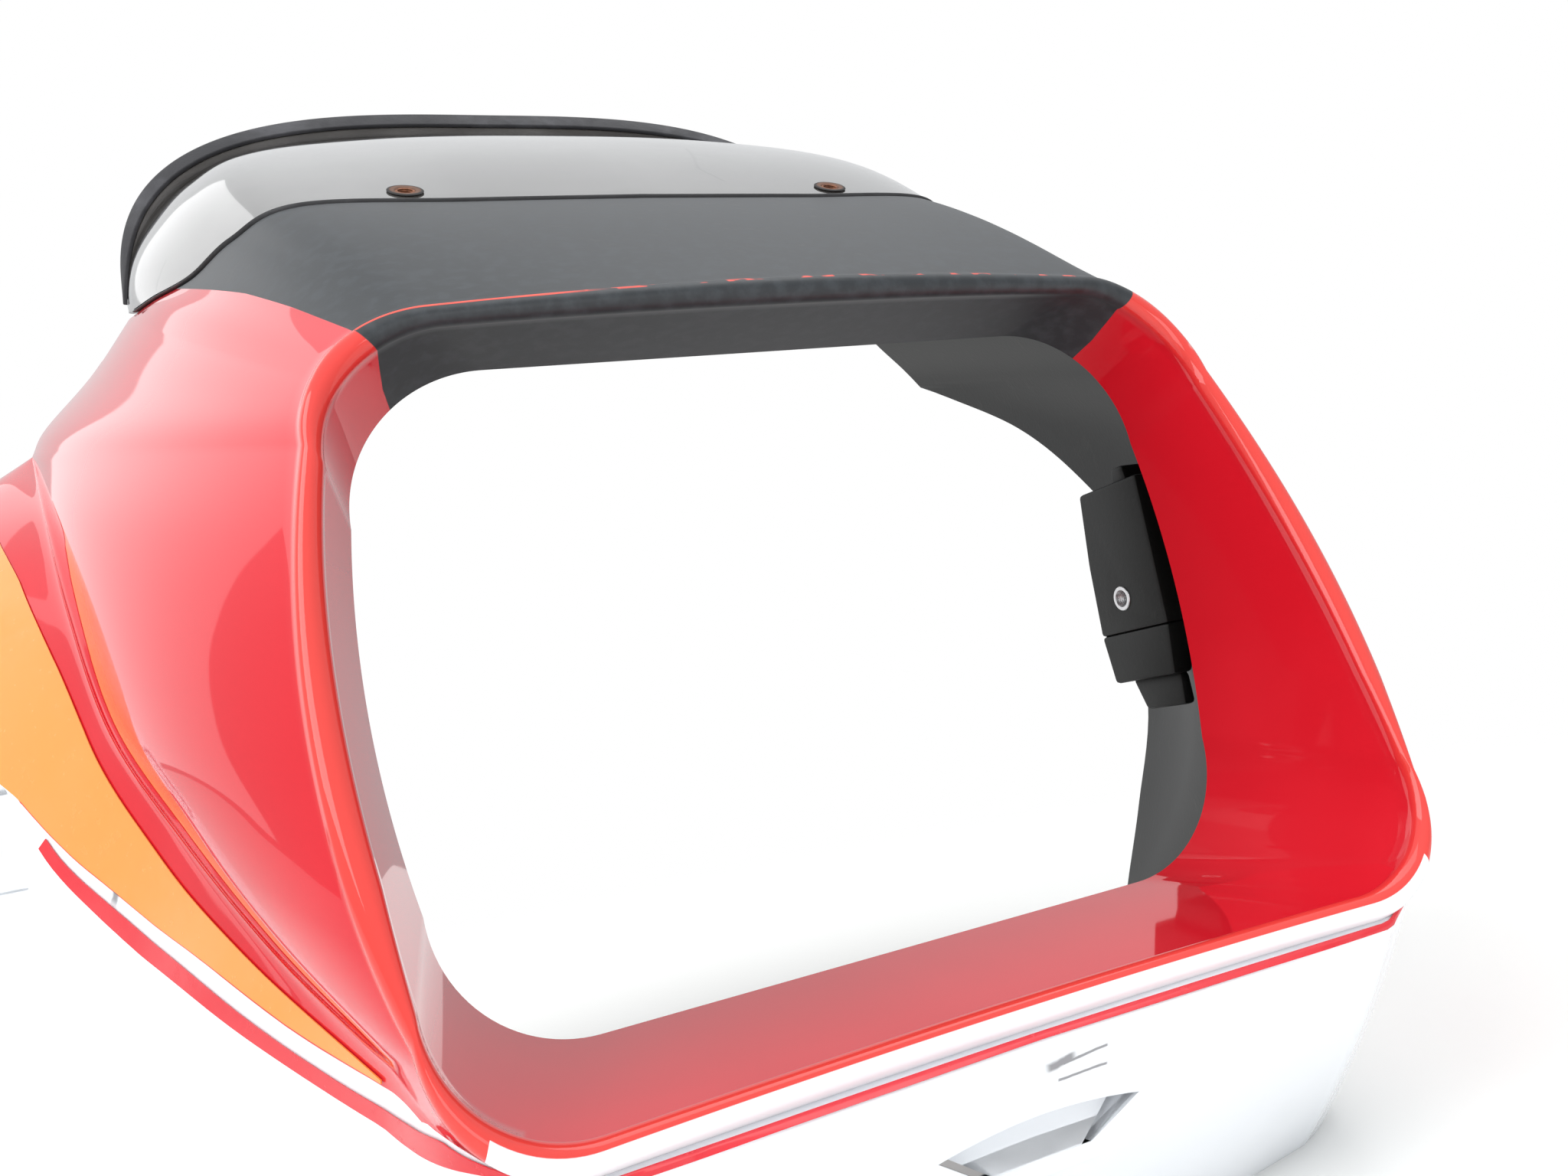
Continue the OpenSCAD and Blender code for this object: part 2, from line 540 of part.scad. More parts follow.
// Threaded metal insert in a stay block, open toward the middle plane
module stay_insert(dir) {
    color("silver") translate([dir * block_x, -insert_reach, insert_z]) rotate([0, dir * 90, 0]) difference() {
        translate([0, 0, -0.4]) cylinder(d = insert_d, h = insert_l + 0.4, $fn = 64);
        translate([0, 0, -1]) cylinder(d = insert_bore, h = insert_l, $fn = 64);
    }
}

// Orange tape along the crease, and the red pinstripe tape that runs round the chin
module orange_stripe(stations) {
    color("orange") intersection() {
        layer(stations, [[0, 2.01]], [[0, 3]], concat([2.01], wing_rows), 0.25, 0.5);
        layer(stations, orange_top, orange_foot, wing_rows, -4, 5);
    }
}
module red_pinstripe() {
    color("red") layer([25.3, each [26 : 2 * half_n - 26], 2 * half_n - 25.3], pin_top, pin_foot, [2, 3], 0.25, 0.5);
}

// Moves everything back or forward so that the origin is under the middle of the object
module centred() {
    translate([0, mid_y, 0]) children();
}

centred() fairing_shell();
centred() windscreen();
centred() screen_cord();
centred() screen_edge_trim();
centred() well_nut(-1);  // well_nut_left
centred() well_nut(1);  // well_nut_right
centred() nut_sleeve(-1);  // nut_sleeve_left
centred() nut_sleeve(1);  // nut_sleeve_right
centred() stay_insert(-1);  // stay_insert_left
centred() stay_insert(1);  // stay_insert_right
centred() orange_stripe([2 * half_n - side_u : 2 * half_n - 19]);  // orange_stripe_left
centred() orange_stripe([19 : side_u]);  // orange_stripe_right
centred() red_pinstripe();
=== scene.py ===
import math

import bmesh
import bpy
import numpy as np
from mathutils import Matrix, Vector
from mathutils.kdtree import KDTree


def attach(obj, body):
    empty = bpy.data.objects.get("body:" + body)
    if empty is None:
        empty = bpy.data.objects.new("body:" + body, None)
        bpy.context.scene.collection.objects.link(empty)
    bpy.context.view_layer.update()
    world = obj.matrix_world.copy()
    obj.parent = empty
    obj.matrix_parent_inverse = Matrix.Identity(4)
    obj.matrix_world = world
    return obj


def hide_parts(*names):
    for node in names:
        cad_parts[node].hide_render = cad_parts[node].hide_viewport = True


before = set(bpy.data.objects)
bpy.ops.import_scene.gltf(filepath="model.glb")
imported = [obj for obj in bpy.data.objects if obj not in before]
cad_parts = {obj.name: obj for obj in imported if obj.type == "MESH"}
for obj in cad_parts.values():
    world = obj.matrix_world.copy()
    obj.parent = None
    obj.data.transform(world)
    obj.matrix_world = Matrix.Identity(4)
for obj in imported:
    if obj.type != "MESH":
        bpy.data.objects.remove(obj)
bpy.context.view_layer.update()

# The shell's surface, in millimetres
RIM_W, RIM_TOP, RIM_BOTTOM, RIM_R_TOP, RIM_R_BOTTOM = 119.0, 223.0, 62.5, 28.0, 26.0
RIM_REACH, RIM_LEAN, BEAD_R = 169.0, 0.33, 3.2
OPEN_W, OPEN_TOP, OPEN_BOTTOM, OPEN_R_TOP, OPEN_R_BOTTOM, OPEN_REACH = 107.7, 218.0, 69.0, 34.0, 32.0, 82.0
WALL, WING_W, WING_Z, REAR_Y, SIDE_BULGE, CHIN_BULGE, FLANGE_W = 3.0, 250.0, 130.0, 146.0, 9.0, 3.0, 18.0
VENT_W, VENT_FOOT, VENT_TOP, VENT_BOTTOM, VENT_DEPTH, VENT_SLOT = 24.0, 13.0, 41.0, 31.0, 8.0, 2.4
POCKET_L, POCKET_H, POCKET_DEPTH, STEM_D = 42.0, 29.0, 5.0, 12.0
BLOCK_X, INSERT_Z, INSERT_REACH, INSERT_D, INSERT_BORE, INSERT_L = 135.0, 145.0, 23.0, 8.0, 5.0, 12.0
SCREEN_T, SCREEN_W, SCREEN_Z, SCREEN_TOP, ARCH_W, ARCH_Z = 3.0, 106.0, 288.0, 399.0, 146.0, 314.0
SCREEN_BULGE, LIP_DIP, CORD_R, TRIM_H, TRIM_T = 7.0, 8.5, 1.2, 5.0, 1.5
HOLE_D, NUT_HEAD_D, SLEEVE_D, SLEEVE_BORE, NUT_L = 7.6, 10.4, 5.6, 4.2, 14.0
MID_Y = -3.0
HOLE_STATION, HOLE_SETBACK = 3.83, 9.5
CORD_GAP, CORD_HALF_H, CORD_SINK = 0.9, 1.85, 1.35
MOULDED = 999.0
POCKET_STATION, POCKET_ROW, BLOCK_INSET, CHIN_TOP = 24.4, 2.34, 4.0, 56.0

TOP_N, CORNER_N, SIDE_N, FOOT_N, BOTTOM_N = 6, 12, 14, 5, 6
CORNER = TOP_N + CORNER_N
SIDE = CORNER + SIDE_N
FOOT = SIDE + FOOT_N
HALF = FOOT + BOTTOM_N
SEAT = TOP_N + 8
LAST = SEAT - 1
SCREEN_U = SEAT - 0.15
SIDE_BOW_R, RIM_MID, OPEN_MID, SEAT_Y = 250.0, 138.0, 147.0, -16.0

ORANGE_TOP = [(19, 2.95), (20, 2.27), (21, 2.13), (22, 2.09), (23, 2.06), (24, 2.04), (32, 2.04)]
WHITE_TOP = [(19, 2.99), (21, 2.98), (22, 2.6), (23, 2.36), (24, 2.23), (25, 2.18), (26, 2.15), (27, 2.12),
             (28, 2.1), (29, 2.09), (31, 2.08), (32, 2.05), (33, 2.01), (43, 2.01)]
PIN_TOP = [(25, 2.19), (26, 2.17), (27, 2.14), (28, 2.12), (31, 2.12), (32, 2.11), (33, 2.07), (34, 2.02),
           (35, 1.9), (36, 1.77), (38, 1.55), (40, 1.42), (43, 1.42)]
PIN_FOOT = [(25, 2.21), (26, 2.19), (27, 2.165), (28, 2.145), (31, 2.15), (32, 2.15), (33, 2.13), (34, 2.08),
            (35, 2.03), (36, 2.0), (38, 1.95), (40, 1.84), (43, 1.84)]
BROW_EDGE = [(0, 11.3), (0.4, 11), (0.8, 10.4), (1.02, 10), (1.25, 9.9), (1.5, 10), (1.8, 10.5),
             (2, 10.8), (3, 10.9)]


def vec(*p):
    return np.array(p, float)


def col(a):
    return np.asarray(a, float)[..., None]


def lerp(a, b, t):
    return np.asarray(a, float) + (np.asarray(b, float) - np.asarray(a, float)) * t


def unit(v):
    return v / np.maximum(np.linalg.norm(v, axis=-1, keepdims=True), 1e-9)


def curve(pts, s):
    pts = np.array(pts, float)
    n = len(pts) - 1
    i = np.clip(np.floor(s).astype(int), 0, n - 1)
    f = col(s - i)
    ext = np.vstack([2 * pts[0] - pts[1], pts, 2 * pts[-1] - pts[-2]])
    a, b, c, d = ext[i], ext[i + 1], ext[i + 2], ext[i + 3]
    bend, twist = 2 * a - 5 * b + 4 * c - d, 3 * b - a - 3 * c + d
    return 0.5 * (2 * b + (c - a) * f + bend * f * f + twist * f ** 3)


def pick(u, parts):
    """The value of the first part whose upper station u doesn't pass."""
    out = parts[-1][1](u)
    for high, part in parts[-2::-1]:
        out = np.where(col(u <= high), part(u), out)
    return out


def loop_side(w, mid, z):
    return w - (z - mid) ** 2 / (2 * SIDE_BOW_R)


def loop_xz(u, w, mid, top, bottom, r_top, r_bottom):
    z_t, z_b = top - r_top, bottom + r_bottom
    x_t, x_b = loop_side(w, mid, z_t) - r_top, loop_side(w, mid, z_b) - r_bottom
    a, b = np.radians(90 * (u - TOP_N) / CORNER_N), np.radians(90 * (u - SIDE) / FOOT_N)
    z = z_t + (z_b - z_t) * (u - CORNER) / SIDE_N
    return pick(u, [
        (TOP_N, lambda u: np.stack([x_t * u / TOP_N, top + 0 * u], -1)),
        (CORNER, lambda u: np.stack([x_t + r_top * np.sin(a), z_t + r_top * np.cos(a)], -1)),
        (SIDE, lambda u: np.stack([loop_side(w, mid, z), z], -1)),
        (FOOT, lambda u: np.stack([x_b + r_bottom * np.cos(b), z_b - r_bottom * np.sin(b)], -1)),
        (99, lambda u: np.stack([x_b * (HALF - u) / BOTTOM_N, bottom + 0 * u], -1))])


def rim(u):
    q = loop_xz(u, RIM_W, RIM_MID, RIM_TOP, RIM_BOTTOM, RIM_R_TOP, RIM_R_BOTTOM)
    x, z = q[:, 0], q[:, 1]
    bow = lerp(9, -12, (z - RIM_BOTTOM) / (RIM_TOP - RIM_BOTTOM))
    return np.stack([x, -RIM_REACH + RIM_LEAN * z + bow * (1 - (x / RIM_W) ** 2), z], -1)


def opening(u):
    q = loop_xz(u, OPEN_W, OPEN_MID, OPEN_TOP, OPEN_BOTTOM, OPEN_R_TOP, OPEN_R_BOTTOM)
    x, z = q[:, 0], q[:, 1]
    return np.stack([x, -OPEN_REACH + 0.045 * (z - 125), z], -1)


SEAT_PTS = [(0, SEAT_Y, SCREEN_Z), (SCREEN_W * 0.5, SEAT_Y + 1, SCREEN_Z),
            (SCREEN_W - 8, SEAT_Y + 3, SCREEN_Z), (SCREEN_W + 9, SEAT_Y + 20, SCREEN_Z - 2),
            (SCREEN_W + 20, SEAT_Y + 46, SCREEN_Z - 2), (ARCH_W - 9, SEAT_Y + 90, SCREEN_Z + 9),
            (ARCH_W, REAR_Y - 12, ARCH_Z)]
SHELL_REAR = (183, REAR_Y - 4, 268)
REAR_PTS = [(ARCH_W, REAR_Y - 12, ARCH_Z), (161, REAR_Y - 2, 297), (178, REAR_Y, 279), SHELL_REAR]
CREASE_FOOT = (RIM_W - 1, -116, 81)
CREASE_PTS = [SHELL_REAR, (175, 66, 228), (168, 18, 190), (160, -14, 155), (147, -42, 127), (133, -76, 102),
              CREASE_FOOT]
CHIN_PTS = [(92, -144, 57), (50, -143, CHIN_TOP), (0, -141, CHIN_TOP)]
WING_PTS = [SHELL_REAR, (204, 120, 246), (234, 104, 206), (WING_W - 3, 108, 160), (WING_W, 116, WING_Z - 25),
            (WING_W - 5, 132, 60), (238, 144, 24), (230, 146, 0), (198, 70, 0), (160, -10, 0), (124, -74, 0)]


def seat(u):
    return pick(u, [(TOP_N, lambda u: curve(SEAT_PTS, 2 * u / TOP_N)),
                    (99, lambda u: curve(SEAT_PTS, 2 + 4 * (u - TOP_N) / (SEAT - TOP_N)))])


def body_line(u):
    return pick(u, [
        (SEAT, seat),
        (CORNER, lambda u: curve(REAR_PTS, 3 * (u - SEAT) / (CORNER - SEAT))),
        (SIDE, lambda u: curve(CREASE_PTS, 6 * (u - CORNER) / SIDE_N)),
        (FOOT, lambda u: curve([CREASE_FOOT, (110, -137, 68), CHIN_PTS[0]], 2 * (u - SIDE) / FOOT_N)),
        (99, lambda u: curve(CHIN_PTS, 2 * (u - FOOT) / BOTTOM_N))])


def outer_line(u):
    return pick(u, [
        (CORNER, body_line),
        (SIDE, lambda u: curve(WING_PTS, 10 * (u - CORNER) / SIDE_N)),
        (FOOT, lambda u: curve([(124, -74, 0), (108, -91, 0), (92, -100, 0)], 2 * (u - SIDE) / FOOT_N)),
        (99, lambda u: curve([(92, -100, 0), (50, -108, 0), (0, -110, 0)], 2 * (u - FOOT) / BOTTOM_N))])


def reveal_dir(u):
    return unit(opening(u) - rim(u))


def body_dir(u):
    share = np.clip((u - SIDE + 3) / (FOOT_N + 3), 0.02, 0.9)
    return unit(lerp(body_line(u), outer_line(u), col(share)) - rim(u))


def bead(u, a):
    a = math.radians(a)
    out, across = -unit(reveal_dir(u) + body_dir(u)), unit(body_dir(u) - reveal_dir(u))
    return rim(u) + BEAD_R * ((math.cos(a) - 1) * out + math.sin(a) * across)


def body_swell(u):
    k = col(np.clip((u - TOP_N) / CORNER_N, 0, 1))
    m = col(np.clip((u - CORNER) / SIDE_N, 0, 1))
    side = np.concatenate([SIDE_BULGE * (1 - m ** 2), -3 + 0 * m, 0 * m], -1)
    return np.where(col(u <= CORNER), lerp(vec(0, -1, 2), vec(SIDE_BULGE, -3, 0), k),
                    np.where(col(u <= SIDE), side, 0 * side))


def wing_swell(u):
    k = col(np.clip((u - CORNER) / SIDE_N, 0, 1))
    swell = vec(6, -14, 0) * np.sin(np.pi * k) + vec(0, -CHIN_BULGE, 0) * k
    return np.where(col(u <= CORNER), 0 * swell, swell)


def body_row(u, t):
    t = col(t + 0 * u)
    return lerp(bead(u, 100), body_line(u), t - 1) + 4 * (t - 1) * (2 - t) * body_swell(u)


def wing_row(u, t):
    t = col(t + 0 * u)
    p = lerp(body_line(u), outer_line(u), t - 2) + 4 * (t - 2) * (3 - t) * wing_swell(u)
    p[:, 2] = np.maximum(p[:, 2], 0)
    return p


# The windscreen's surface
def arch_line(u):
    a = np.radians(90 * u / SEAT)
    x = ARCH_W * np.maximum(np.sin(a), 0) ** (5 / 7)
    z = ARCH_Z + (SCREEN_TOP - ARCH_Z) * np.maximum(np.cos(a), 0) ** (5 / 7)
    return np.stack([x, REAR_Y - 12 * (x / ARCH_W) ** 2, z], -1)


def chord(u):
    return np.linalg.norm(arch_line(u) - seat(u), axis=-1)


def screen_at(u, v):
    w, v = np.abs(u), v + 0 * u
    a = np.radians(90 * w / SEAT)
    k = np.clip((v - 0.72) / 0.28, 0, None)
    rise = np.where(v < 0.72, SCREEN_BULGE * np.sin(np.radians(250 * v)), -LIP_DIP * k * (1 - k ** 5))
    up = unit(np.stack([np.sin(a), -0.2 + 0 * a, np.cos(a)], -1))
    p = lerp(seat(w), arch_line(w), col(v)) + col(rise * chord(w) / 196) * up
    p[:, 0] *= np.where(u < 0, -1, 1)
    return p


def screen_normal(u, v):
    v = v + 0 * u
    c = np.clip(u, 0.2 - SCREEN_U, SCREEN_U - 0.2)
    return unit(np.cross(screen_at(c + 0.15, v) - screen_at(c - 0.15, v),
                         screen_at(u, np.clip(v + 0.02, 0, 1)) - screen_at(u, np.clip(v - 0.02, 0, 1))))


def mirrored(fn):
    def both(u, *more):
        p = fn(np.abs(u), *more)
        p[:, 0] *= np.where(u < 0, -1, 1)
        return p
    return both


def body_up(u):
    row = mirrored(body_row)
    return unit(np.cross(row(u + 0.3, 2) - row(u - 0.3, 2), row(u, 2) - row(u, 1.8)))


def flange(u, k, depth):
    """The ledge under the windscreen, which steps down by its thickness; it takes u up to CORNER."""
    k = k + 0 * u
    w = np.minimum(u, LAST)
    length = np.interp(u, [LAST - 1, LAST, SEAT], [FLANGE_W, 0.65 * FLANGE_W, 2])
    turn = col(np.clip(u - LAST, 0, 2) / 2)
    last = np.full(1, float(LAST))
    along = unit(screen_at(last, 0.3) - seat(last))
    on = unit(body_line(u) - body_row(u, 1.9))
    beside = body_line(u) + col(length * k) * unit(lerp(along, on, turn))
    top = np.where(col(u <= LAST), screen_at(w, k * length / chord(w)), beside)
    v = np.where(u <= LAST, np.maximum(0.02, k * length / chord(w)), 0.02)
    up = unit(lerp(screen_normal(w, v), body_up(u), turn))
    drop = (SCREEN_T + 0.3) * np.clip(SEAT + 1 - u, 0, 1)
    return top - col(drop * np.minimum(1, k / 0.05) + depth) * up


def skin(u, t):
    t = t + 0 * u
    p = np.empty((len(u), 3))
    for here, part in ((t <= 1, lambda u, t: lerp(opening(u), bead(u, -100), col(t))),
                       ((t > 1) & (t <= 2), body_row),
                       ((t > 2) & (u <= CORNER), lambda u, t: flange(u, t - 2, 0)),
                       ((t > 2) & (u > CORNER), wing_row)):
        if here.any():
            p[here] = part(u[here], t[here])
    return p


def folded(fn):
    """fn over the whole loop: stations below 0 and above HALF are mirror images."""
    def whole(u, t):
        w = np.where(u > HALF, 2 * HALF - u, np.abs(u))
        p = fn(w, t)
        p[:, 0] *= np.where((u > HALF) | (u < 0), -1, 1)
        return p
    return whole


skin_at = folded(skin)


def skin_normal(u, t):
    lo = 0 if t < 1 else 1.02 if t < 2 else np.where(u <= CORNER, 1.8, 1.9) if t == 2 else 2.001
    hi = 1 if t < 1 else 2 if t < 2 else np.where(u <= CORNER, 2, 2.1) if t == 2 else 3
    a, b = np.maximum(lo, t - 0.1), np.minimum(hi, t + 0.1)
    return unit(np.cross(skin_at(u + 0.3, t) - skin_at(u - 0.3, t), skin_at(u, b) - skin_at(u, a)))


def inner_apex(u):
    out = -unit(reveal_dir(u) + body_dir(u))
    return rim(u) - col(2 * WALL / np.linalg.norm(body_dir(u) - reveal_dir(u), axis=-1)) * out


def inner_plain(u, t):
    p = skin(u, t) - WALL * skin_normal(u, t)
    if t == 3:
        p[:, 2] = np.where(u > CORNER, skin(u, 3)[:, 2], p[:, 2])
    p[:, 2] = np.maximum(p[:, 2], 0)
    if t > 2:
        p = np.where(col(u <= CORNER), flange(np.minimum(u, CORNER), t - 2, WALL), p)
    return p


def inner(u, t):
    k = np.clip((u - SIDE) / 3, 0, 1)
    p = inner_plain(u, t)
    if t == 2:
        w = np.minimum(u, CORNER)
        turn = col(np.clip(w - LAST, 0, 2) / 2)
        up = unit(lerp(screen_normal(np.minimum(w, LAST), 0.02), body_up(w), turn))
        p = p - col((SCREEN_T + 0.3) * np.clip(SEAT + 1 - u, 0, 1)) * up
    if t > 2.2 or t < 1:
        return p
    low = lerp(inner_apex(u), inner_plain(u, 2.3), (t - 1) / 1.3)
    return np.where(col(k == 0), p, lerp(inner_plain(u, t), low, col(k)))


def joined(fn):
    """Beyond t = 2, the stretch from the screen's corner to the first wing station runs straight."""
    def whole(u, t):
        p = fn(u, t)
        here = (u > CORNER) & (u < CORNER + 1) & (t + 0 * u > 2)
        if here.any():
            w, k = u[here], t[here] if np.ndim(t) else t
            a, b = 0 * w + CORNER, 0 * w + CORNER + 1
            p[here] = body_line(w) + lerp(fn(a, k) - body_line(a), fn(b, k) - body_line(b), col(w - CORNER))
        return p
    return whole


skin_one, inner_one = joined(skin), joined(inner)


def fold_round(u):
    """How far in t the rounding of the crease reaches on each side of it."""
    body = np.linalg.norm(body_line(u) - bead(u, 100), axis=-1)
    wing = np.linalg.norm(outer_line(u) - body_line(u), axis=-1)
    r = np.where(u <= CORNER, 0.5, lerp(0.5, 4.0, np.clip((u - CORNER) / 3, 0, 1)))
    return np.minimum(r / body, 0.25), np.where(u <= CORNER, 0.02, np.minimum(r / np.maximum(wing, 1), 0.3))


def outer_half(u, t):
    """The outer skin with its crease rounded."""
    t = t + 0 * u
    a, b = fold_round(u)
    s = np.where(t < 2, 0.5 * (t - 2 + a) / a, 0.5 + 0.5 * (t - 2) / b)
    bend = (s > 0) & (s < 1)
    p = skin_one(u, t)
    if bend.any():
        w, s = u[bend], col(s[bend])
        p0, p1, p2 = skin_one(w, 2 - a[bend]), body_line(w), skin_one(w, 2 + b[bend])
        p[bend] = (1 - s) ** 2 * p0 + 2 * s * (1 - s) * p1 + s ** 2 * p2
    return p


outer = folded(outer_half)


def outer_normal(u, t):
    t = t + 0 * u
    a, b = np.maximum(1.0, t - 0.01), np.minimum(3, t + 0.01)
    return unit(np.cross(outer(u + 0.1, t) - outer(u - 0.1, t), outer(u, b) - outer(u, a)))


def on_grid(fn, u, ts):
    """fn at every station of u for each row's t, as rows by stations by 3."""
    ts = np.array([t + 0 * u for t in ts])
    return fn(np.tile(u, len(ts)), ts.ravel()).reshape(*ts.shape, 3)


def edge(table, u):
    """A paint or tape edge, with its corners eased."""
    w = np.where(u > HALF, 2 * HALF - u, np.abs(u))
    xs, ys = zip(*table)
    return sum(np.interp(w + d, xs, ys) for d in (-0.6, -0.3, 0, 0.3, 0.6)) / 5


# Meshes
def to_m(p):
    return (np.asarray(p, float) + vec(0, MID_Y, 0)) / 1000


def new_mesh(name, points, faces):
    mesh = bpy.data.meshes.new(name)
    mesh.from_pydata(to_m(points).tolist(), [], [tuple(map(int, f)) for f in faces])
    mesh.validate()
    return mesh


def grid_faces(rows, cols, close_rows=False, close_cols=False):
    down = np.arange(rows if close_rows else rows - 1)
    across = np.arange(cols if close_cols else cols - 1)
    i, j = np.meshgrid(down, across, indexing="ij")
    i, j = i.ravel(), j.ravel()
    k, m = (i + 1) % rows, (j + 1) % cols
    return np.stack([i * cols + j, i * cols + m, k * cols + m, k * cols + j], -1)


def show(name, mesh, node, material, angle=40):
    piece = bpy.data.objects.new(name, mesh)
    bpy.context.scene.collection.objects.link(piece)
    mesh.materials.clear()
    mesh.materials.append(material)
    mesh.shade_smooth()
    mesh.set_sharp_from_angle(angle=math.radians(angle))
    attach(piece, "root")
    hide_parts(node)


def boolean(mesh, operand, how):
    """mesh joined with or cut by operand."""
    a = bpy.data.objects.new("work", mesh)
    b = bpy.data.objects.new("tool", operand)
    for o in (a, b):
        bpy.context.scene.collection.objects.link(o)
    mod = a.modifiers.new("cut", "BOOLEAN")
    mod.operation, mod.object, mod.solver = how, b, "EXACT"
    graph = bpy.context.evaluated_depsgraph_get()
    made = bpy.data.meshes.new_from_object(a.evaluated_get(graph))
    bpy.data.objects.remove(a)
    bpy.data.objects.remove(b)
    return made


def joined_mesh(name, parts):
    points, faces, base = [], [], 0
    for p, f in parts:
        points.append(np.asarray(p, float))
        faces += [tuple(int(i) + base for i in face) for face in f]
        base += len(p)
    mesh = new_mesh(name, np.vstack(points), faces)
    bm = bmesh.new()
    bm.from_mesh(mesh)
    bmesh.ops.recalc_face_normals(bm, faces=bm.faces)
    bm.to_mesh(mesh)
    bm.free()
    return mesh


def mirror(part):
    p, f = part
    return np.asarray(p, float) * vec(-1, 1, 1), [tuple(face)[::-1] for face in f]


def loft(rings):
    """A closed solid through rings of points, each going the same way round."""
    m, n = len(rings), len(rings[0])
    faces = grid_faces(m, n, close_cols=True).tolist()
    faces += [tuple(range(n))[::-1], tuple((m - 1) * n + i for i in range(n))]
    return np.vstack(rings), faces


def hull(points, bevel=0.0):
    """The convex hull of points, with its edges rounded."""
    bm = bmesh.new()
    for p in points:
        bm.verts.new(p)
    made = bmesh.ops.convex_hull(bm, input=bm.verts)
    within = [v for v in made["geom_interior"] if isinstance(v, bmesh.types.BMVert)]
    bmesh.ops.delete(bm, geom=within, context="VERTS")
    bmesh.ops.dissolve_limit(bm, angle_limit=0.02, verts=bm.verts, edges=bm.edges)
    if bevel:
        bmesh.ops.bevel(bm, geom=bm.edges, offset=bevel, segments=2, affect="EDGES", profile=0.5)
    bmesh.ops.recalc_face_normals(bm, faces=bm.faces)
    bm.verts.index_update()
    part = [v.co[:] for v in bm.verts], [tuple(v.index for v in f.verts) for f in bm.faces]
    bm.free()
    return part


def wedge(points, x0):
    return hull([(p[0] - BLOCK_INSET, p[1], p[2]) for p in points] + [(x0, p[1], p[2]) for p in points], 1.2)


def frame_on(p, n):
    """Axes of a piece set on a surface at p, with its own Z along n."""
    n = unit(vec(*n))
    x = unit(np.cross((0, 1, 0), n))
    return np.stack([x, np.cross(n, x), n], 0), vec(*p)


def lathe(profile, place, steps=48):
    """A turned solid: profile is a closed outline of (radius, height)."""
    axes, at = place
    a = np.linspace(0, 2 * np.pi, steps, endpoint=False)
    rings = [np.stack([r * np.cos(a), r * np.sin(a), 0 * a + h], -1) @ axes + at for r, h in profile]
    return np.vstack(rings), grid_faces(len(rings), steps, close_rows=True, close_cols=True).tolist()


HOLE_U = np.full(1, HOLE_STATION)
HOLE_V = HOLE_SETBACK / chord(HOLE_U)
HOLE_AT, HOLE_DIR = screen_at(HOLE_U, HOLE_V)[0], screen_normal(HOLE_U, HOLE_V)[0]


def cylinder(place, r, low, high, steps=48):
    a = np.linspace(0, 2 * np.pi, steps, endpoint=False)
    axes, at = place
    return loft([np.stack([r * np.cos(a), r * np.sin(a), 0 * a + h], -1) @ axes + at for h in (low, high)])


def fastener_holes():
    hole = cylinder(frame_on(HOLE_AT, HOLE_DIR), HOLE_D / 2, -10, 10)
    return [hole, mirror(hole)]


# The shell
FULL = np.arange(0, 2 * HALF, 0.2)


def shell_body():
    """The outer and inner rows as one closed grid, with the values that the paint needs at each point."""
    w = np.where(FULL > HALF, 2 * HALF - FULL, FULL)
    a, b = fold_round(w)
    reveal = [0, 0.01, 0.04, 0.12, 0.25, 0.4, 0.55, 0.7, 0.83, 0.93, 1]
    angles = range(-85, 101, 15)
    body = [1 + f * (1 - a) for f in (0.006, 0.02, 0.05, *np.arange(0.1, 0.99, 0.04), 1)]
    body += [2 - a + 2 * s * a if s < 0.5 else 2 + (2 * s - 1) * b for s in (0.17, 0.33, 0.5, 0.67, 0.83)]
    body += [2 + b + f * (1 - b) for f in (0, 0.01, 0.03, 0.06, *np.arange(0.1, 0.99, 0.045), 0.99, 1)]
    deep = [3, 2.9, 2.8, 2.65, 2.5, 2.35, 2.2, 2.1, 2.05, 2, 1.88, 1.75, 1.6, 1.5, 1.4, 1.25]
    rows = [*on_grid(skin, w, reveal), *[bead(w, angle) for angle in angles], *on_grid(outer_half, w, body),
            *[inner_one(w, t) for t in deep], inner_apex(w), *[inner(w, t) for t in (0.5, 0.4, 0.2, 0)]]
    ts = np.array([t + 0 * w for t in (*reveal, *[1] * len(angles), *body, *deep, 1, 0.5, 0.4, 0.2, 0)])
    inside = np.zeros_like(ts)
    inside[-len(deep) - 5:] = 1
    crest = len(reveal) + 6
    rows = np.array(rows) * np.where(FULL > HALF, -1, 1)[:, None] ** vec(1, 0, 0)
    step = np.linalg.norm(np.diff(rows, axis=0), axis=-1)
    along = np.vstack([np.zeros(len(w)), np.cumsum(step, 0)])
    wing = np.linalg.norm(outer_line(w) - body_line(w), axis=-1)
    along -= along[crest]
    low = np.clip(w - 33.5, 0, 1)
    white = lerp((ts - edge(WHITE_TOP, w)) * np.maximum(wing, 8) - 0.8, along + 0.4, low)
    xs, ys = zip(*BROW_EDGE)
    across = np.linalg.norm(rows - np.roll(rows, 1, 1), axis=-1) / 0.2
    black = (np.interp(ts, xs, ys) - w) * across
    fields = {"f_white": white, "f_black": black, "f_crest": along, "f_inside": inside}
    return rows, {k: v.ravel() for k, v in fields.items()}


def vent_outline(grow):
    top = [((VENT_W + 1.6 * grow) * k, VENT_TOP + grow - 2.5 * k * k) for k in np.linspace(-1, 1, 25)]
    return top + [(VENT_FOOT + grow, VENT_BOTTOM - grow), (-VENT_FOOT - grow, VENT_BOTTOM - grow)]


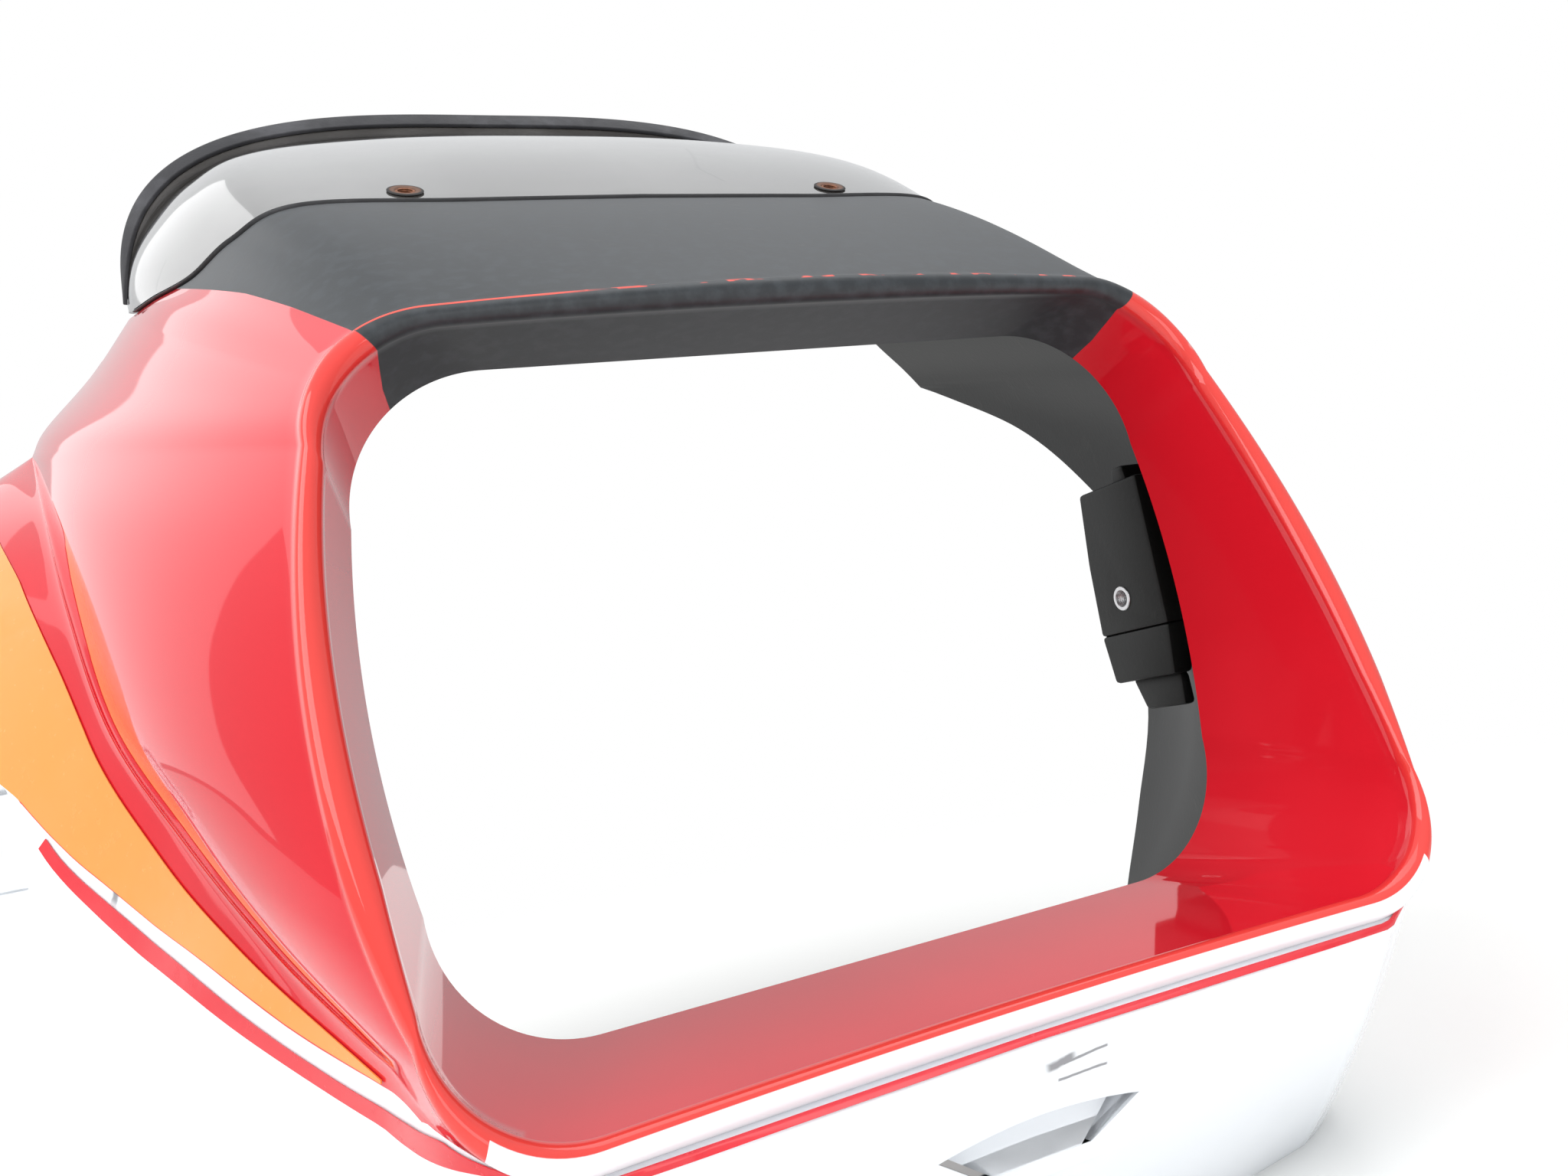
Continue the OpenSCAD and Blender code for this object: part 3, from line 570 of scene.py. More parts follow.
def vent_parts():
    chin_y = skin(np.full(1, float(HALF)), 2 + (CHIN_TOP - VENT_BOTTOM) / CHIN_TOP)[0][1]
    lean = math.atan((VENT_DEPTH - 5) / (VENT_TOP - VENT_BOTTOM))

    def plane(z, back, tip):
        return chin_y + back + (z - VENT_BOTTOM) * math.tan(tip)

    grown = vent_outline(4)
    rear = [(x, plane(z, WALL, lean), z) for x, z in grown]
    front = [(x, min(plane(z, 1.4, math.radians(-27)), plane(z, WALL, lean) - 0.01), z) for x, z in grown]
    cut = vent_outline(0)
    scoop = [np.array([(x, -170, z) for x, z in cut]), np.array([(x, plane(z, 0, lean), z) for x, z in cut])]
    slot = [(VENT_W, VENT_TOP - 2.5), (VENT_FOOT, VENT_BOTTOM), (VENT_FOOT - VENT_SLOT, VENT_BOTTOM),
            (VENT_W - VENT_SLOT, VENT_TOP - 2.5)]
    slit = loft([np.array([(x, y, z) for x, z in slot]) for y in (-140, -110)])
    return loft([np.array(front), np.array(rear)]), [loft(scoop), slit, mirror(slit)]


def pocket_parts():
    u = np.full(1, POCKET_STATION)
    at, n = skin(u, POCKET_ROW)[0], skin_normal(u, POCKET_ROW)[0]
    e = unit(np.cross(n, (0, 0, 1)))
    axes = np.stack([e, np.cross(n, e), n], 0)

    def ring(grow, z):
        h, l = POCKET_H / 2 + grow - 4, POCKET_L / 2 + grow - 4
        q = [(-l, -h), (l - 5, -h), (l, h), (-l, h)]
        pts = []
        for i, start in enumerate((180, 270, 0, 90)):
            for a in np.radians(np.linspace(start, start + 90, 7)):
                pts.append((q[i][0] + 4 * math.cos(a), q[i][1] + 4 * math.sin(a), z))
        return np.array(pts) @ axes + at

    backing = loft([ring(-1, -POCKET_DEPTH - WALL), ring(2, -2.2)])
    cut = loft([ring(-4.6, -POCKET_DEPTH), ring(-3.4, -POCKET_DEPTH + 0.2), ring(-2.7, -POCKET_DEPTH + 0.9),
                ring(0.2, 0.2), ring(1, 1.5), ring(1.5, 4)])
    stem = cylinder((axes, vec(-2, 0, 0) @ axes + at), STEM_D / 2, -20, 0)
    return backing, [cut, stem]


def stay_block():
    return [
        wedge([(152.4, -42, 182), (160.6, -12, 182), (154, -42, 158), (161.5, -9, 158), (148, -42, 134),
               (166, -8, 134)], BLOCK_X),
        wedge([(148, -42, 134), (166, -8, 134), (146, -40, 118), (166, -10, 118)], BLOCK_X),
        wedge([(146, -38, 118.5), (163, -14, 118.5), (147, -37, 108), (161, -18, 108)], BLOCK_X + 4),
        wedge([(153, -34, 181), (156, -26, 181), (152, -33, 187), (154, -27, 187)], BLOCK_X + 3)]


def insert_place(side):
    axes = np.array([[0, 0, -side], [0, 1, 0], [side, 0, 0]], float)
    return axes, vec(side * BLOCK_X, -INSERT_REACH, INSERT_Z)


def solid_of(mesh):
    """A mesh's points, in millimetres as above, and its faces."""
    points = np.array([v.co[:] for v in mesh.vertices]) * 1000 - vec(0, MID_Y, 0)
    return points, [tuple(f.vertices) for f in mesh.polygons]


def cut_solid(parts, cutters):
    """Solids joined into one mesh, each with the cutters taken out of it."""
    points, faces = [], []
    for part in parts:
        mesh = joined_mesh("part", [part])
        for cutter in cutters:
            mesh = boolean(mesh, joined_mesh("cut", [cutter]), "DIFFERENCE")
        base = sum(len(p) for p in points)
        p, f = solid_of(mesh)
        points.append(p)
        faces += [tuple(i + base for i in face) for face in f]
    return np.vstack(points), faces


def fairing_shell_mesh():
    rows, fields = shell_body()
    m, n, _ = rows.shape
    points = rows.reshape(-1, 3)
    mesh = new_mesh("shell", points, grid_faces(m, n, True, True))
    vent_back, vent_cut = vent_parts()
    pocket_back, pocket_cut = pocket_parts()
    bore = cylinder(insert_place(1), INSERT_D / 2 + 0.1, -1, INSERT_L + 0.4)
    cutters = joined_mesh("cut", [vent_cut[0]])
    for part in vent_cut[1:]:
        cutters = boolean(cutters, joined_mesh("slit", [part]), "UNION")
    pocket = boolean(joined_mesh("cut", [pocket_cut[0]]), joined_mesh("stem", [pocket_cut[1]]), "UNION")
    loose = [solid_of(c) for c in (cutters, pocket)]
    mesh = boolean(mesh, joined_mesh("cut", [*loose, mirror(loose[1]), *fastener_holes()]), "DIFFERENCE")
    blocks = cut_solid(stay_block(), [bore])
    back, pocket = cut_solid([vent_back], vent_cut), cut_solid([pocket_back], pocket_cut)
    extra = joined_mesh("extra", [back, pocket, mirror(pocket), blocks, mirror(blocks)])
    tree = KDTree(len(points))
    for i, p in enumerate(to_m(points)):
        tree.insert(p, i)
    tree.balance()
    near = [tree.find(v.co) for v in mesh.vertices]
    index = np.array([hit[1] for hit in near])
    cut_edge = np.array([hit[2] > 2e-5 and v.co.z < 0.2 for hit, v in zip(near, mesh.vertices)])
    moulded = sum(len(part[0]) for part in (back, pocket, pocket))
    bm = bmesh.new()
    bm.from_mesh(mesh)
    bm.from_mesh(extra)
    bm.to_mesh(mesh)
    bm.free()
    for key, values in fields.items():
        data = mesh.attributes.new(key, "FLOAT", "POINT")
        rest = np.full(len(extra.vertices), 9.0)
        if key == "f_inside":
            rest = (np.arange(len(rest)) >= moulded).astype(float)
        if key == "f_black":
            rest = -rest
        if key == "f_crest":
            rest[:] = MOULDED
        own = np.where(cut_edge, {"f_inside": 0.0, "f_black": -9.0}.get(key, 9.0), values[index])
        data.data.foreach_set("value", np.concatenate([own, rest]).astype(np.float32))
    return mesh


# The other pieces
def screen_rows(u):
    c = chord(np.abs(u))
    a, b = np.minimum((2 * CORD_R + 1.1) / c, 0.4), 1 - np.minimum(TRIM_H / c, 0.35)
    return [lerp(a, b, k) for k in np.linspace(0, 1, 61)] + [1 + 0 * u]


def windscreen_mesh():
    u = np.linspace(-SCREEN_U, SCREEN_U, 223)
    vs = screen_rows(u)
    top = [screen_at(u, v) for v in vs]
    low = [screen_at(u, v) - SCREEN_T * screen_normal(u, v) for v in vs]
    ahead = 0.5 * unit(top[0] - top[1])
    eased = [lerp(top[0], low[0], k) + math.sin(math.pi * k) * ahead for k in (0.15, 0.5, 0.85)]
    rings = np.array(top + low[::-1] + eased[::-1])
    m, n, _ = rings.shape
    faces = grid_faces(m, n, close_rows=True).tolist()
    k = len(vs)
    for j, order in ((0, 1), (n - 1, -1)):
        for i in range(k - 1):
            quad = (i * n + j, (i + 1) * n + j, (2 * k - 2 - i) * n + j, (2 * k - 1 - i) * n + j)
            faces.append(quad[::order])
        faces.append(tuple(i * n + j for i in (0, 2 * k - 1, 2 * k, 2 * k + 1, 2 * k + 2))[::order])
    mesh = new_mesh("screen", rings.reshape(-1, 3), faces)
    return boolean(mesh, joined_mesh("holes", fastener_holes()), "DIFFERENCE")


def swept(name, rings):
    """A closed bar through rings, an array of (along, around, 3)."""
    m, n, _ = rings.shape
    faces = grid_faces(m, n, close_cols=True).tolist()
    faces += [tuple(range(n))[::-1], tuple((m - 1) * n + i for i in range(n))]
    return new_mesh(name, rings.reshape(-1, 3), faces)


def cord_mesh():
    u = np.linspace(0.6 - SEAT, SEAT - 0.6, 260)
    out = screen_normal(u, 0.02)
    ahead = unit(screen_at(u, 0.05) - screen_at(u, 0))
    mid = screen_at(u, 0) + (CORD_GAP + CORD_R) * ahead - CORD_SINK * out
    a = np.linspace(0, 2 * np.pi, 16, endpoint=False)
    across = CORD_R * np.cos(a)[:, None] * ahead[:, None]
    rings = mid[:, None] + across + CORD_HALF_H * np.sin(a)[:, None] * out[:, None]
    return swept("cord", rings)


def eased_section(corners, radii, steps=4):
    """Rounds each corner of a swept section; corners is a list of (along, 3) arrays."""
    made = []
    for i, p in enumerate(corners):
        before, after = corners[i - 1] - p, corners[(i + 1) % len(corners)] - p
        r = radii[i]
        a, b = p + r * unit(before), p + r * unit(after)
        for s in np.linspace(0, 1, steps):
            made.append((1 - s) ** 2 * a + 2 * s * (1 - s) * p + s ** 2 * b)
    return made


def trim_mesh():
    u = np.linspace(0.3 - SEAT, SEAT - 0.3, 281)
    b = 1 - np.minimum(TRIM_H / chord(np.abs(u)), 0.35)
    out, foot_out = screen_normal(u, 1), screen_normal(u, b)
    rim_p, foot = screen_at(u, 1), screen_at(u, b)
    on = unit(rim_p - foot)
    top, under, t = 0.15, -SCREEN_T - 0.15, TRIM_T
    near, far = rim_p + top * on, rim_p + (top + t) * on
    corners = [foot + top * foot_out, near + top * out, near + under * out, foot + under * foot_out,
               foot + (under - t) * foot_out, far + (under - t) * out, far + (top + t) * out,
               foot + (top + t) * foot_out]
    rings = np.stack(eased_section(corners, [0.3, 0.15, 0.15, 0.3, 0.6, 1.4, 1.4, 0.6]), 1)
    return swept("trim", rings[:, ::-1])


def tape_mesh(name, stations, tops, feet, rows=9, low=0.25, high=0.5):
    u = np.asarray(stations, float)
    a, b = edge(tops, u), np.minimum(edge(feet, u), 3)
    ts = [lerp(a, b, k) for k in np.linspace(0, 1, rows)]
    at, out = on_grid(outer, u, ts), on_grid(outer_normal, u, ts)
    return swept(name, np.concatenate([at + high * out, (at + low * out)[::-1]]).transpose(1, 0, 2))


def nut_profile():
    r, head = HOLE_D / 2 - 0.2, NUT_HEAD_D / 2
    bore = SLEEVE_D / 2 + 0.05
    return [(bore, -NUT_L), (r - 0.5, -NUT_L), (r, -NUT_L + 0.5), (r, -4), (r, 0.2), (head - 0.2, 0.2),
            (head, 0.3), (head, 0.45), (head - 0.2, 0.6), (head - 0.6, 0.68), (bore + 0.6, 0.6),
            (bore + 0.2, 0.5), (bore, 0.3)]


def sleeve_profile():
    outer_r, bore = SLEEVE_D / 2, SLEEVE_BORE / 2
    threads = [(bore + (0.22 if i % 2 else 0), 0.3 - 0.35 * i) for i in range(40)]
    return [(outer_r - 0.2, -NUT_L), (outer_r, -NUT_L + 0.2), (outer_r, 0.3), (outer_r - 0.2, 0.45),
            (bore + 0.35, 0.45), *threads, (bore + 0.3, -NUT_L)]


def insert_profile():
    r, bore = INSERT_D / 2, INSERT_BORE / 2
    threads = [(bore + (0.25 if i % 2 else 0), 0.2 + 0.4 * i) for i in range(26)]
    return [(bore + 0.3, -0.4), *threads, (bore, INSERT_L - 1), (0.01, INSERT_L - 1), (0.01, INSERT_L),
            (r, INSERT_L), (r, -0.2), (r - 0.2, -0.4)]


# Materials
class Look:
    """A material's node tree, with short ways to write its nodes."""

    def __init__(self, name):
        self.material = bpy.data.materials.new(name)
        self.material.use_nodes = True
        self.tree = self.material.node_tree
        self.tree.nodes.clear()
        self.shader = self.add("ShaderNodeBsdfPrincipled")
        self.add("ShaderNodeOutputMaterial", Surface=self.shader.outputs[0])

    def add(self, kind, settings=(), **inputs):
        node = self.tree.nodes.new(kind)
        for key, value in dict(settings).items():
            setattr(node, key, value)
        for key, value in inputs.items():
            numbered = key[0] == "i" and key[1:].isdigit()
            self.feed(node.inputs[int(key[1:]) if numbered else key.replace("_", " ")], value)
        return node

    def feed(self, socket, value):
        if isinstance(value, bpy.types.NodeSocket):
            self.tree.links.new(value, socket)
        elif socket.type == "RGBA" and len(value) == 3:
            socket.default_value = (*value, 1)
        else:
            socket.default_value = value

    def math(self, how, a, b=0.0):
        return self.add("ShaderNodeMath", {"operation": how}, i0=a, i1=b).outputs[0]

    def times(self, *values):
        out = values[0]
        for v in values[1:]:
            out = self.math("MULTIPLY", out, v)
        return out

    def step(self, value, low, high):
        """0 below low and 1 above high, smoothly between; low may be the larger one."""
        node = self.add("ShaderNodeMapRange", {"interpolation_type": "SMOOTHSTEP"}, Value=value)
        ends = (low, high, 0, 1) if low < high else (high, low, 1, 0)
        for i, x in enumerate(ends):
            node.inputs[i + 1].default_value = x
        return node.outputs[0]

    def band(self, value, at, half, soft):
        """1 within half of at."""
        return self.step(self.math("ABSOLUTE", self.math("SUBTRACT", value, at)), half + soft, half)

    def attribute(self, name):
        return self.add("ShaderNodeAttribute", {"attribute_name": name}).outputs["Fac"]

    def place(self):
        return self.add("ShaderNodeTexCoord").outputs["Object"]

    def axis(self, i):
        return self.add("ShaderNodeSeparateXYZ", i0=self.place()).outputs[i]

    def stretched(self, scale, turn=(0, 0, 0)):
        return self.add("ShaderNodeMapping", i0=self.place(), Rotation=turn, Scale=scale).outputs[0]

    def noise(self, scale, detail=3.0, rough=0.55, vector=None):
        return self.add("ShaderNodeTexNoise", i0=vector or self.place(), Scale=scale, Detail=detail,
                        Roughness=rough).outputs[0]

    def spots(self, scale, size):
        """Scattered round specks."""
        cell = self.add("ShaderNodeTexVoronoi", i0=self.place(), Scale=scale).outputs["Distance"]
        return self.step(cell, size, size * 0.7)

    def mix(self, share, a, b):
        node = self.add("ShaderNodeMix", {"data_type": "RGBA"})
        for i, value in ((0, share), (6, a), (7, b)):
            self.feed(node.inputs[i], value)
        return node.outputs[2]

    def blend(self, share, a, b):
        node = self.add("ShaderNodeMix", {"data_type": "FLOAT"})
        for i, value in ((0, share), (2, a), (3, b)):
            self.feed(node.inputs[i], value)
        return node.outputs[0]

    def bump(self, height, strength, distance=0.001):
        node = self.add("ShaderNodeBump", Strength=strength, Distance=distance, Height=height)
        self.feed(self.shader.inputs["Normal"], node.outputs[0])

    def finish(self, **inputs):
        for key, value in inputs.items():
            self.feed(self.shader.inputs[key.replace("_", " ")], value)
        return self.material

    def reach(self, way):
        """How far the place lies along a direction."""
        return self.add("ShaderNodeVectorMath", {"operation": "DOT_PRODUCT"}, i0=self.place(),
                        i1=tuple(way)).outputs["Value"]

    def most(self, values):
        out = values[0]
        for v in values[1:]:
            out = self.math("MAXIMUM", out, v)
        return out

    def scratch(self, a, b, width, facing=(0.0, 0.0, 0.0)):
        """A thin straight line from a to b, in metres, on a surface that faces about that way."""
        a, b = vec(*a), vec(*b)
        along = unit(b - a)
        side = unit(np.cross(along, vec(*facing)))
        u, v = self.reach(along), self.reach(side)
        depth = np.cross(along, side)
        w = self.reach(depth)
        length = float(np.dot(b - a, along))
        wobble = self.math("MULTIPLY", self.math("SUBTRACT", self.noise(220, 2), 0.5), width * 2)
        u0 = float(np.dot(a, along))
        on = self.band(u, u0 + length / 2, length / 2, width * 2)
        on = self.times(on, self.band(w, float(np.dot(a + b, depth)) / 2, 0.006, 0.002))
        off = self.math("ADD", v, wobble)
        return self.times(on, self.band(off, float(np.dot(a, side)), width / 2, width))


SHELL_SCRATCHES = [((0.002, -0.142, 0.0505), (0.0065, -0.1425, 0.051), 0.0009, (0, -0.9, -0.4)),
                   ((0.005, -0.1425, 0.05), (0.015, -0.143, 0.051), 0.0003, (0, -0.9, -0.4)),
                   ((0.004, -0.141, 0.047), (0.015, -0.141, 0.0475), 0.0003, (0, -0.9, -0.4)),
                   ((-0.164, -0.0225, 0.1165), (-0.162, -0.0225, 0.1185), 0.0012, (-0.8, -0.6, 0))]
SCREEN_CRACKS = [((-0.132, 0.049, 0.301), (-0.136, 0.063, 0.2975), 0.0006, (-0.95, -0.3, 0)),
                 ((0.038, 0.03, 0.328), (0.036, 0.0225, 0.323), 0.0005, (0, -0.6, 0.8)),
                 ((0.036, 0.0225, 0.323), (0.030, 0.005, 0.309), 0.0006, (0, -0.6, 0.8)),
                 ((0.030, 0.005, 0.309), (0.033, -0.006, 0.299), 0.0005, (0, -0.65, 0.75)),
                 ((0.036, 0.0225, 0.323), (0.041, 0.018, 0.3195), 0.0004, (0, -0.6, 0.8))]


def shell_look():
    k = Look("shell_plastic")
    white, black, crest = k.attribute("f_white"), k.attribute("f_black"), k.attribute("f_crest")
    facing = k.add("ShaderNodeSeparateXYZ", i0=k.add("ShaderNodeTexCoord").outputs["Normal"]).outputs[1]
    inside = k.math("MAXIMUM", k.attribute("f_inside"), k.times(k.step(crest, MOULDED / 2, 0.6 * MOULDED), k.step(facing, 0.3, 0.4)))
    cloud, fine = k.noise(9, 3), k.noise(260, 4)
    red = k.mix(k.step(cloud, 0.35, 0.7), (0.58, 0.008, 0.018), (0.64, 0.014, 0.026))
    # Lighter orange-red along the bead's crest, where the rounded bead catches the light: a painted
    # highlight.
    red = k.mix(k.times(k.band(crest, 0.5, 2.5, 4), 0.5), red, (0.78, 0.09, 0.06))
    satin = k.mix(k.step(fine, 0.4, 0.7), (0.016, 0.020, 0.024), (0.03, 0.036, 0.042))
    ice = k.mix(k.step(cloud, 0.3, 0.7), (0.80, 0.83, 0.87), (0.86, 0.88, 0.91))
    paint = k.mix(k.step(white, -0.12, 0.12), k.mix(k.step(black, -0.12, 0.12), red, satin), ice)
    x = k.axis(0)
    worn_at = k.math("ADD", crest, k.times(k.math("SUBTRACT", k.noise(60, 2), 0.5), 0.8))
    worn = k.times(k.band(worn_at, 4.0, 1.0, 0.5), k.step(black, -0.2, 0.6))
    share = k.math("MAXIMUM", k.step(x, -0.045, -0.06), k.times(k.step(k.noise(150, 2), 0.54, 0.6), 0.8))
    worn = k.times(worn, share)
    paint = k.mix(worn, paint, (0.85, 0.06, 0.03))
    chips = k.times(k.spots(42, 0.13), k.step(k.noise(21, 1), 0.6, 0.66), k.band(crest, 0, 5, 3))
    paint = k.mix(chips, paint, (0.75, 0.62, 0.60))
    marks = k.most([k.scratch(*line) for line in SHELL_SCRATCHES])
    paint = k.mix(k.times(marks, 0.75), paint, (0.10, 0.09, 0.10))
    dust = k.step(k.noise(70, 5, 0.7), 0.55, 0.75)
    plastic = k.mix(k.times(dust, 0.5), (0.005, 0.0055, 0.005), (0.017, 0.018, 0.016))
    deep = k.step(inside, 0.45, 0.55)
    scuffs = k.step(k.noise(1.0, 6, 0.7, k.stretched((40, 260, 90), (0.3, 0.5, 0.2))), 0.55, 0.8)
    rough = k.blend(k.step(black, -0.12, 0.12), k.blend(scuffs, 0.04, 0.09), k.blend(fine, 0.42, 0.54))
    rough = k.blend(deep, rough, 0.55)
    k.bump(k.math("ADD", k.times(fine, k.blend(k.step(black, -0.1, 0.1), 0.01, 0.05)),
                  k.times(k.math("ADD", k.noise(600, 3), dust), deep, 0.4)), 0.25, 0.0006)
    return k.finish(Base_Color=k.mix(deep, paint, plastic), Roughness=rough, IOR=1.5)


def screen_look():
    k = Look("smoked_screen")
    haze = k.step(k.noise(14, 5, 0.65), 0.4, 0.75)
    lines = k.step(k.noise(1.0, 5, 0.7, k.stretched((50, 500, 200), (0.2, 0.4, 0.9))), 0.6, 0.8)
    # Darker smoke over the screen's right side, where it mirrors less of the bright sky: painted shade.
    right = k.step(k.axis(0), 0.02, 0.11)
    base = k.mix(haze, (0.075, 0.070, 0.066), (0.13, 0.125, 0.12))
    base = k.mix(k.times(right, 0.6), base, (0.035, 0.034, 0.034))
    cracks = k.most([k.scratch(*crack) for crack in SCREEN_CRACKS])
    base = k.mix(k.times(cracks, 0.8), base, (0.02, 0.018, 0.016))
    rough = k.math("ADD", k.blend(haze, 0.07, 0.14), k.times(k.math("MAXIMUM", lines, cracks), 0.12))
    k.bump(k.math("SUBTRACT", lines, cracks), 0.04, 0.0003)
    return k.finish(Base_Color=base, Roughness=rough, IOR=1.55, Alpha=0.9, Specular_IOR_Level=0.8,
                    Coat_Weight=1.0, Coat_Roughness=0.05, Coat_IOR=1.6)


def rubber_look(name, tone):
    k = Look(name)
    grey = k.noise(120, 4)
    wear = k.step(k.noise(24, 4, 0.7), 0.5, 0.75)
    k.bump(k.math("ADD", grey, k.noise(900, 2)), 0.3, 0.0005)
    return k.finish(Base_Color=k.mix(k.times(wear, 0.6), tone, tuple(c * 3 + 0.02 for c in tone)),
                    Roughness=k.blend(grey, 0.5, 0.75))


def nut_look():
    """Rubber stained brown by the sleeve inside it, with a darker rim."""
    k = Look("nut_rubber")
    across = k.add("ShaderNodeVectorMath", {"operation": "ABSOLUTE"}, i0=k.place()).outputs[0]
    beside = k.add("ShaderNodeSeparateXYZ", i0=across).outputs[0]
    level = k.add("ShaderNodeCombineXYZ", i0=beside, i1=k.axis(1), i2=k.axis(2)).outputs[0]
    middle = tuple(float(c) for c in to_m(HOLE_AT))
    away = k.add("ShaderNodeVectorMath", {"operation": "DISTANCE"}, i0=level, i1=middle).outputs["Value"]
    patch = k.noise(500, 4, 0.7)
    stain = k.times(k.step(away, NUT_HEAD_D * 0.00046, NUT_HEAD_D * 0.00038), k.blend(patch, 0.5, 1.0))
    k.bump(patch, 0.3, 0.0004)
    brown = k.mix(patch, (0.09, 0.035, 0.018), (0.26, 0.13, 0.08))
    return k.finish(Base_Color=k.mix(stain, (0.02, 0.018, 0.018), brown), Roughness=k.blend(patch, 0.6, 0.85))


def rust_look():
    k = Look("rusty_steel")
    patch = k.noise(420, 5, 0.7)
    k.bump(patch, 0.6, 0.0006)
    return k.finish(Base_Color=k.mix(k.step(patch, 0.35, 0.65), (0.10, 0.03, 0.012), (0.30, 0.12, 0.06)),
                    Roughness=k.blend(patch, 0.6, 0.9), Metallic=0.2)


def metal_look():
    k = Look("pale_metal")
    stain = k.noise(300, 4)
    k.bump(k.noise(900, 3), 0.3, 0.0003)
    return k.finish(Base_Color=k.mix(stain, (0.55, 0.55, 0.56), (0.85, 0.85, 0.86)),
                    Roughness=k.blend(stain, 0.25, 0.5), Metallic=0.9)


def tape_look(name, pale, deep):
    k = Look(name)
    soft, fine = k.noise(12, 3), k.noise(300, 3)
    k.bump(k.math("ADD", k.noise(90, 3), k.times(fine, 0.3)), 0.12, 0.0005)
    return k.finish(Base_Color=k.mix(soft, pale, deep), Roughness=k.blend(k.step(fine, 0.4, 0.7), 0.16, 0.28))


shell_paint, smoked = shell_look(), screen_look()
trim_rubber = rubber_look("trim_rubber", (0.022, 0.022, 0.026))
cord_rubber = rubber_look("cord_rubber", (0.012, 0.012, 0.014))
nut_rubber, rust, metal = nut_look(), rust_look(), metal_look()
orange = tape_look("orange_tape", (0.96, 0.33, 0.10), (0.94, 0.27, 0.03))
red_tape = tape_look("red_tape", (0.70, 0.03, 0.045), (0.62, 0.02, 0.03))

show("shell", fairing_shell_mesh(), "fairing_shell", shell_paint, 30)
show("screen", windscreen_mesh(), "windscreen", smoked)
show("seal_cord", cord_mesh(), "screen_cord", cord_rubber)
show("edge_trim", trim_mesh(), "screen_edge_trim", trim_rubber)
for label, first, last in (("right", 19, SIDE + 0.01), ("left", 2 * HALF - SIDE, 2 * HALF - 18.99)):
    show("orange_tape_" + label, tape_mesh("o", np.arange(first, last, 0.2), ORANGE_TOP, WHITE_TOP),
         "orange_stripe_" + label, orange)
show("pinstripe_tape", tape_mesh("p", np.arange(25.3, 2 * HALF - 25.29, 0.2), PIN_TOP, PIN_FOOT, 4),
     "red_pinstripe", red_tape)
for side, label in ((1, "right"), (-1, "left")):
    place = frame_on(HOLE_AT * vec(side, 1, 1), HOLE_DIR * vec(side, 1, 1))
    turned_pieces = (("rubber_nut_", nut_profile(), place, "well_nut_", "nut_rubber", nut_rubber),
                     ("sleeve_", sleeve_profile(), place, "nut_sleeve_", "rusty_steel", rust),
                     ("insert_", insert_profile(), insert_place(side), "stay_insert_", "pale_metal", metal))
    for name, profile, at, node, slot, look in turned_pieces:
        show(name + label, joined_mesh("n", [lathe(profile, at)]), node + label, look)


# Floor, light and camera
def floor():
    k = Look("floor_paper")
    k.finish(Base_Color=k.mix(k.noise(3, 3), (0.86, 0.855, 0.83), (0.9, 0.9, 0.89)), Roughness=0.9)
    away = k.add("ShaderNodeVectorMath", {"operation": "LENGTH"}, i0=k.place()).outputs["Value"]
    ray = k.add("ShaderNodeLightPath").outputs
    seen = k.most([ray["Is Camera Ray"], ray["Is Glossy Ray"], ray["Is Transmission Ray"]])
    share = k.times(seen, k.step(away, 0.35, 0.95))
    white = k.add("ShaderNodeEmission", Color=(1, 1, 1), Strength=1.0).outputs[0]
    both = k.add("ShaderNodeMixShader", i0=share, i1=k.shader.outputs[0], i2=white)
    k.tree.links.new(both.outputs[0], k.tree.nodes["Material Output"].inputs["Surface"])
    mesh = bpy.data.meshes.new("floor")
    mesh.from_pydata([(-6, -6, 0), (6, -6, 0), (6, 6, 0), (-6, 6, 0)], [], [(0, 1, 2, 3)])
    mesh.materials.append(k.material)
    plane = bpy.data.objects.new("floor", mesh)
    bpy.context.scene.collection.objects.link(plane)


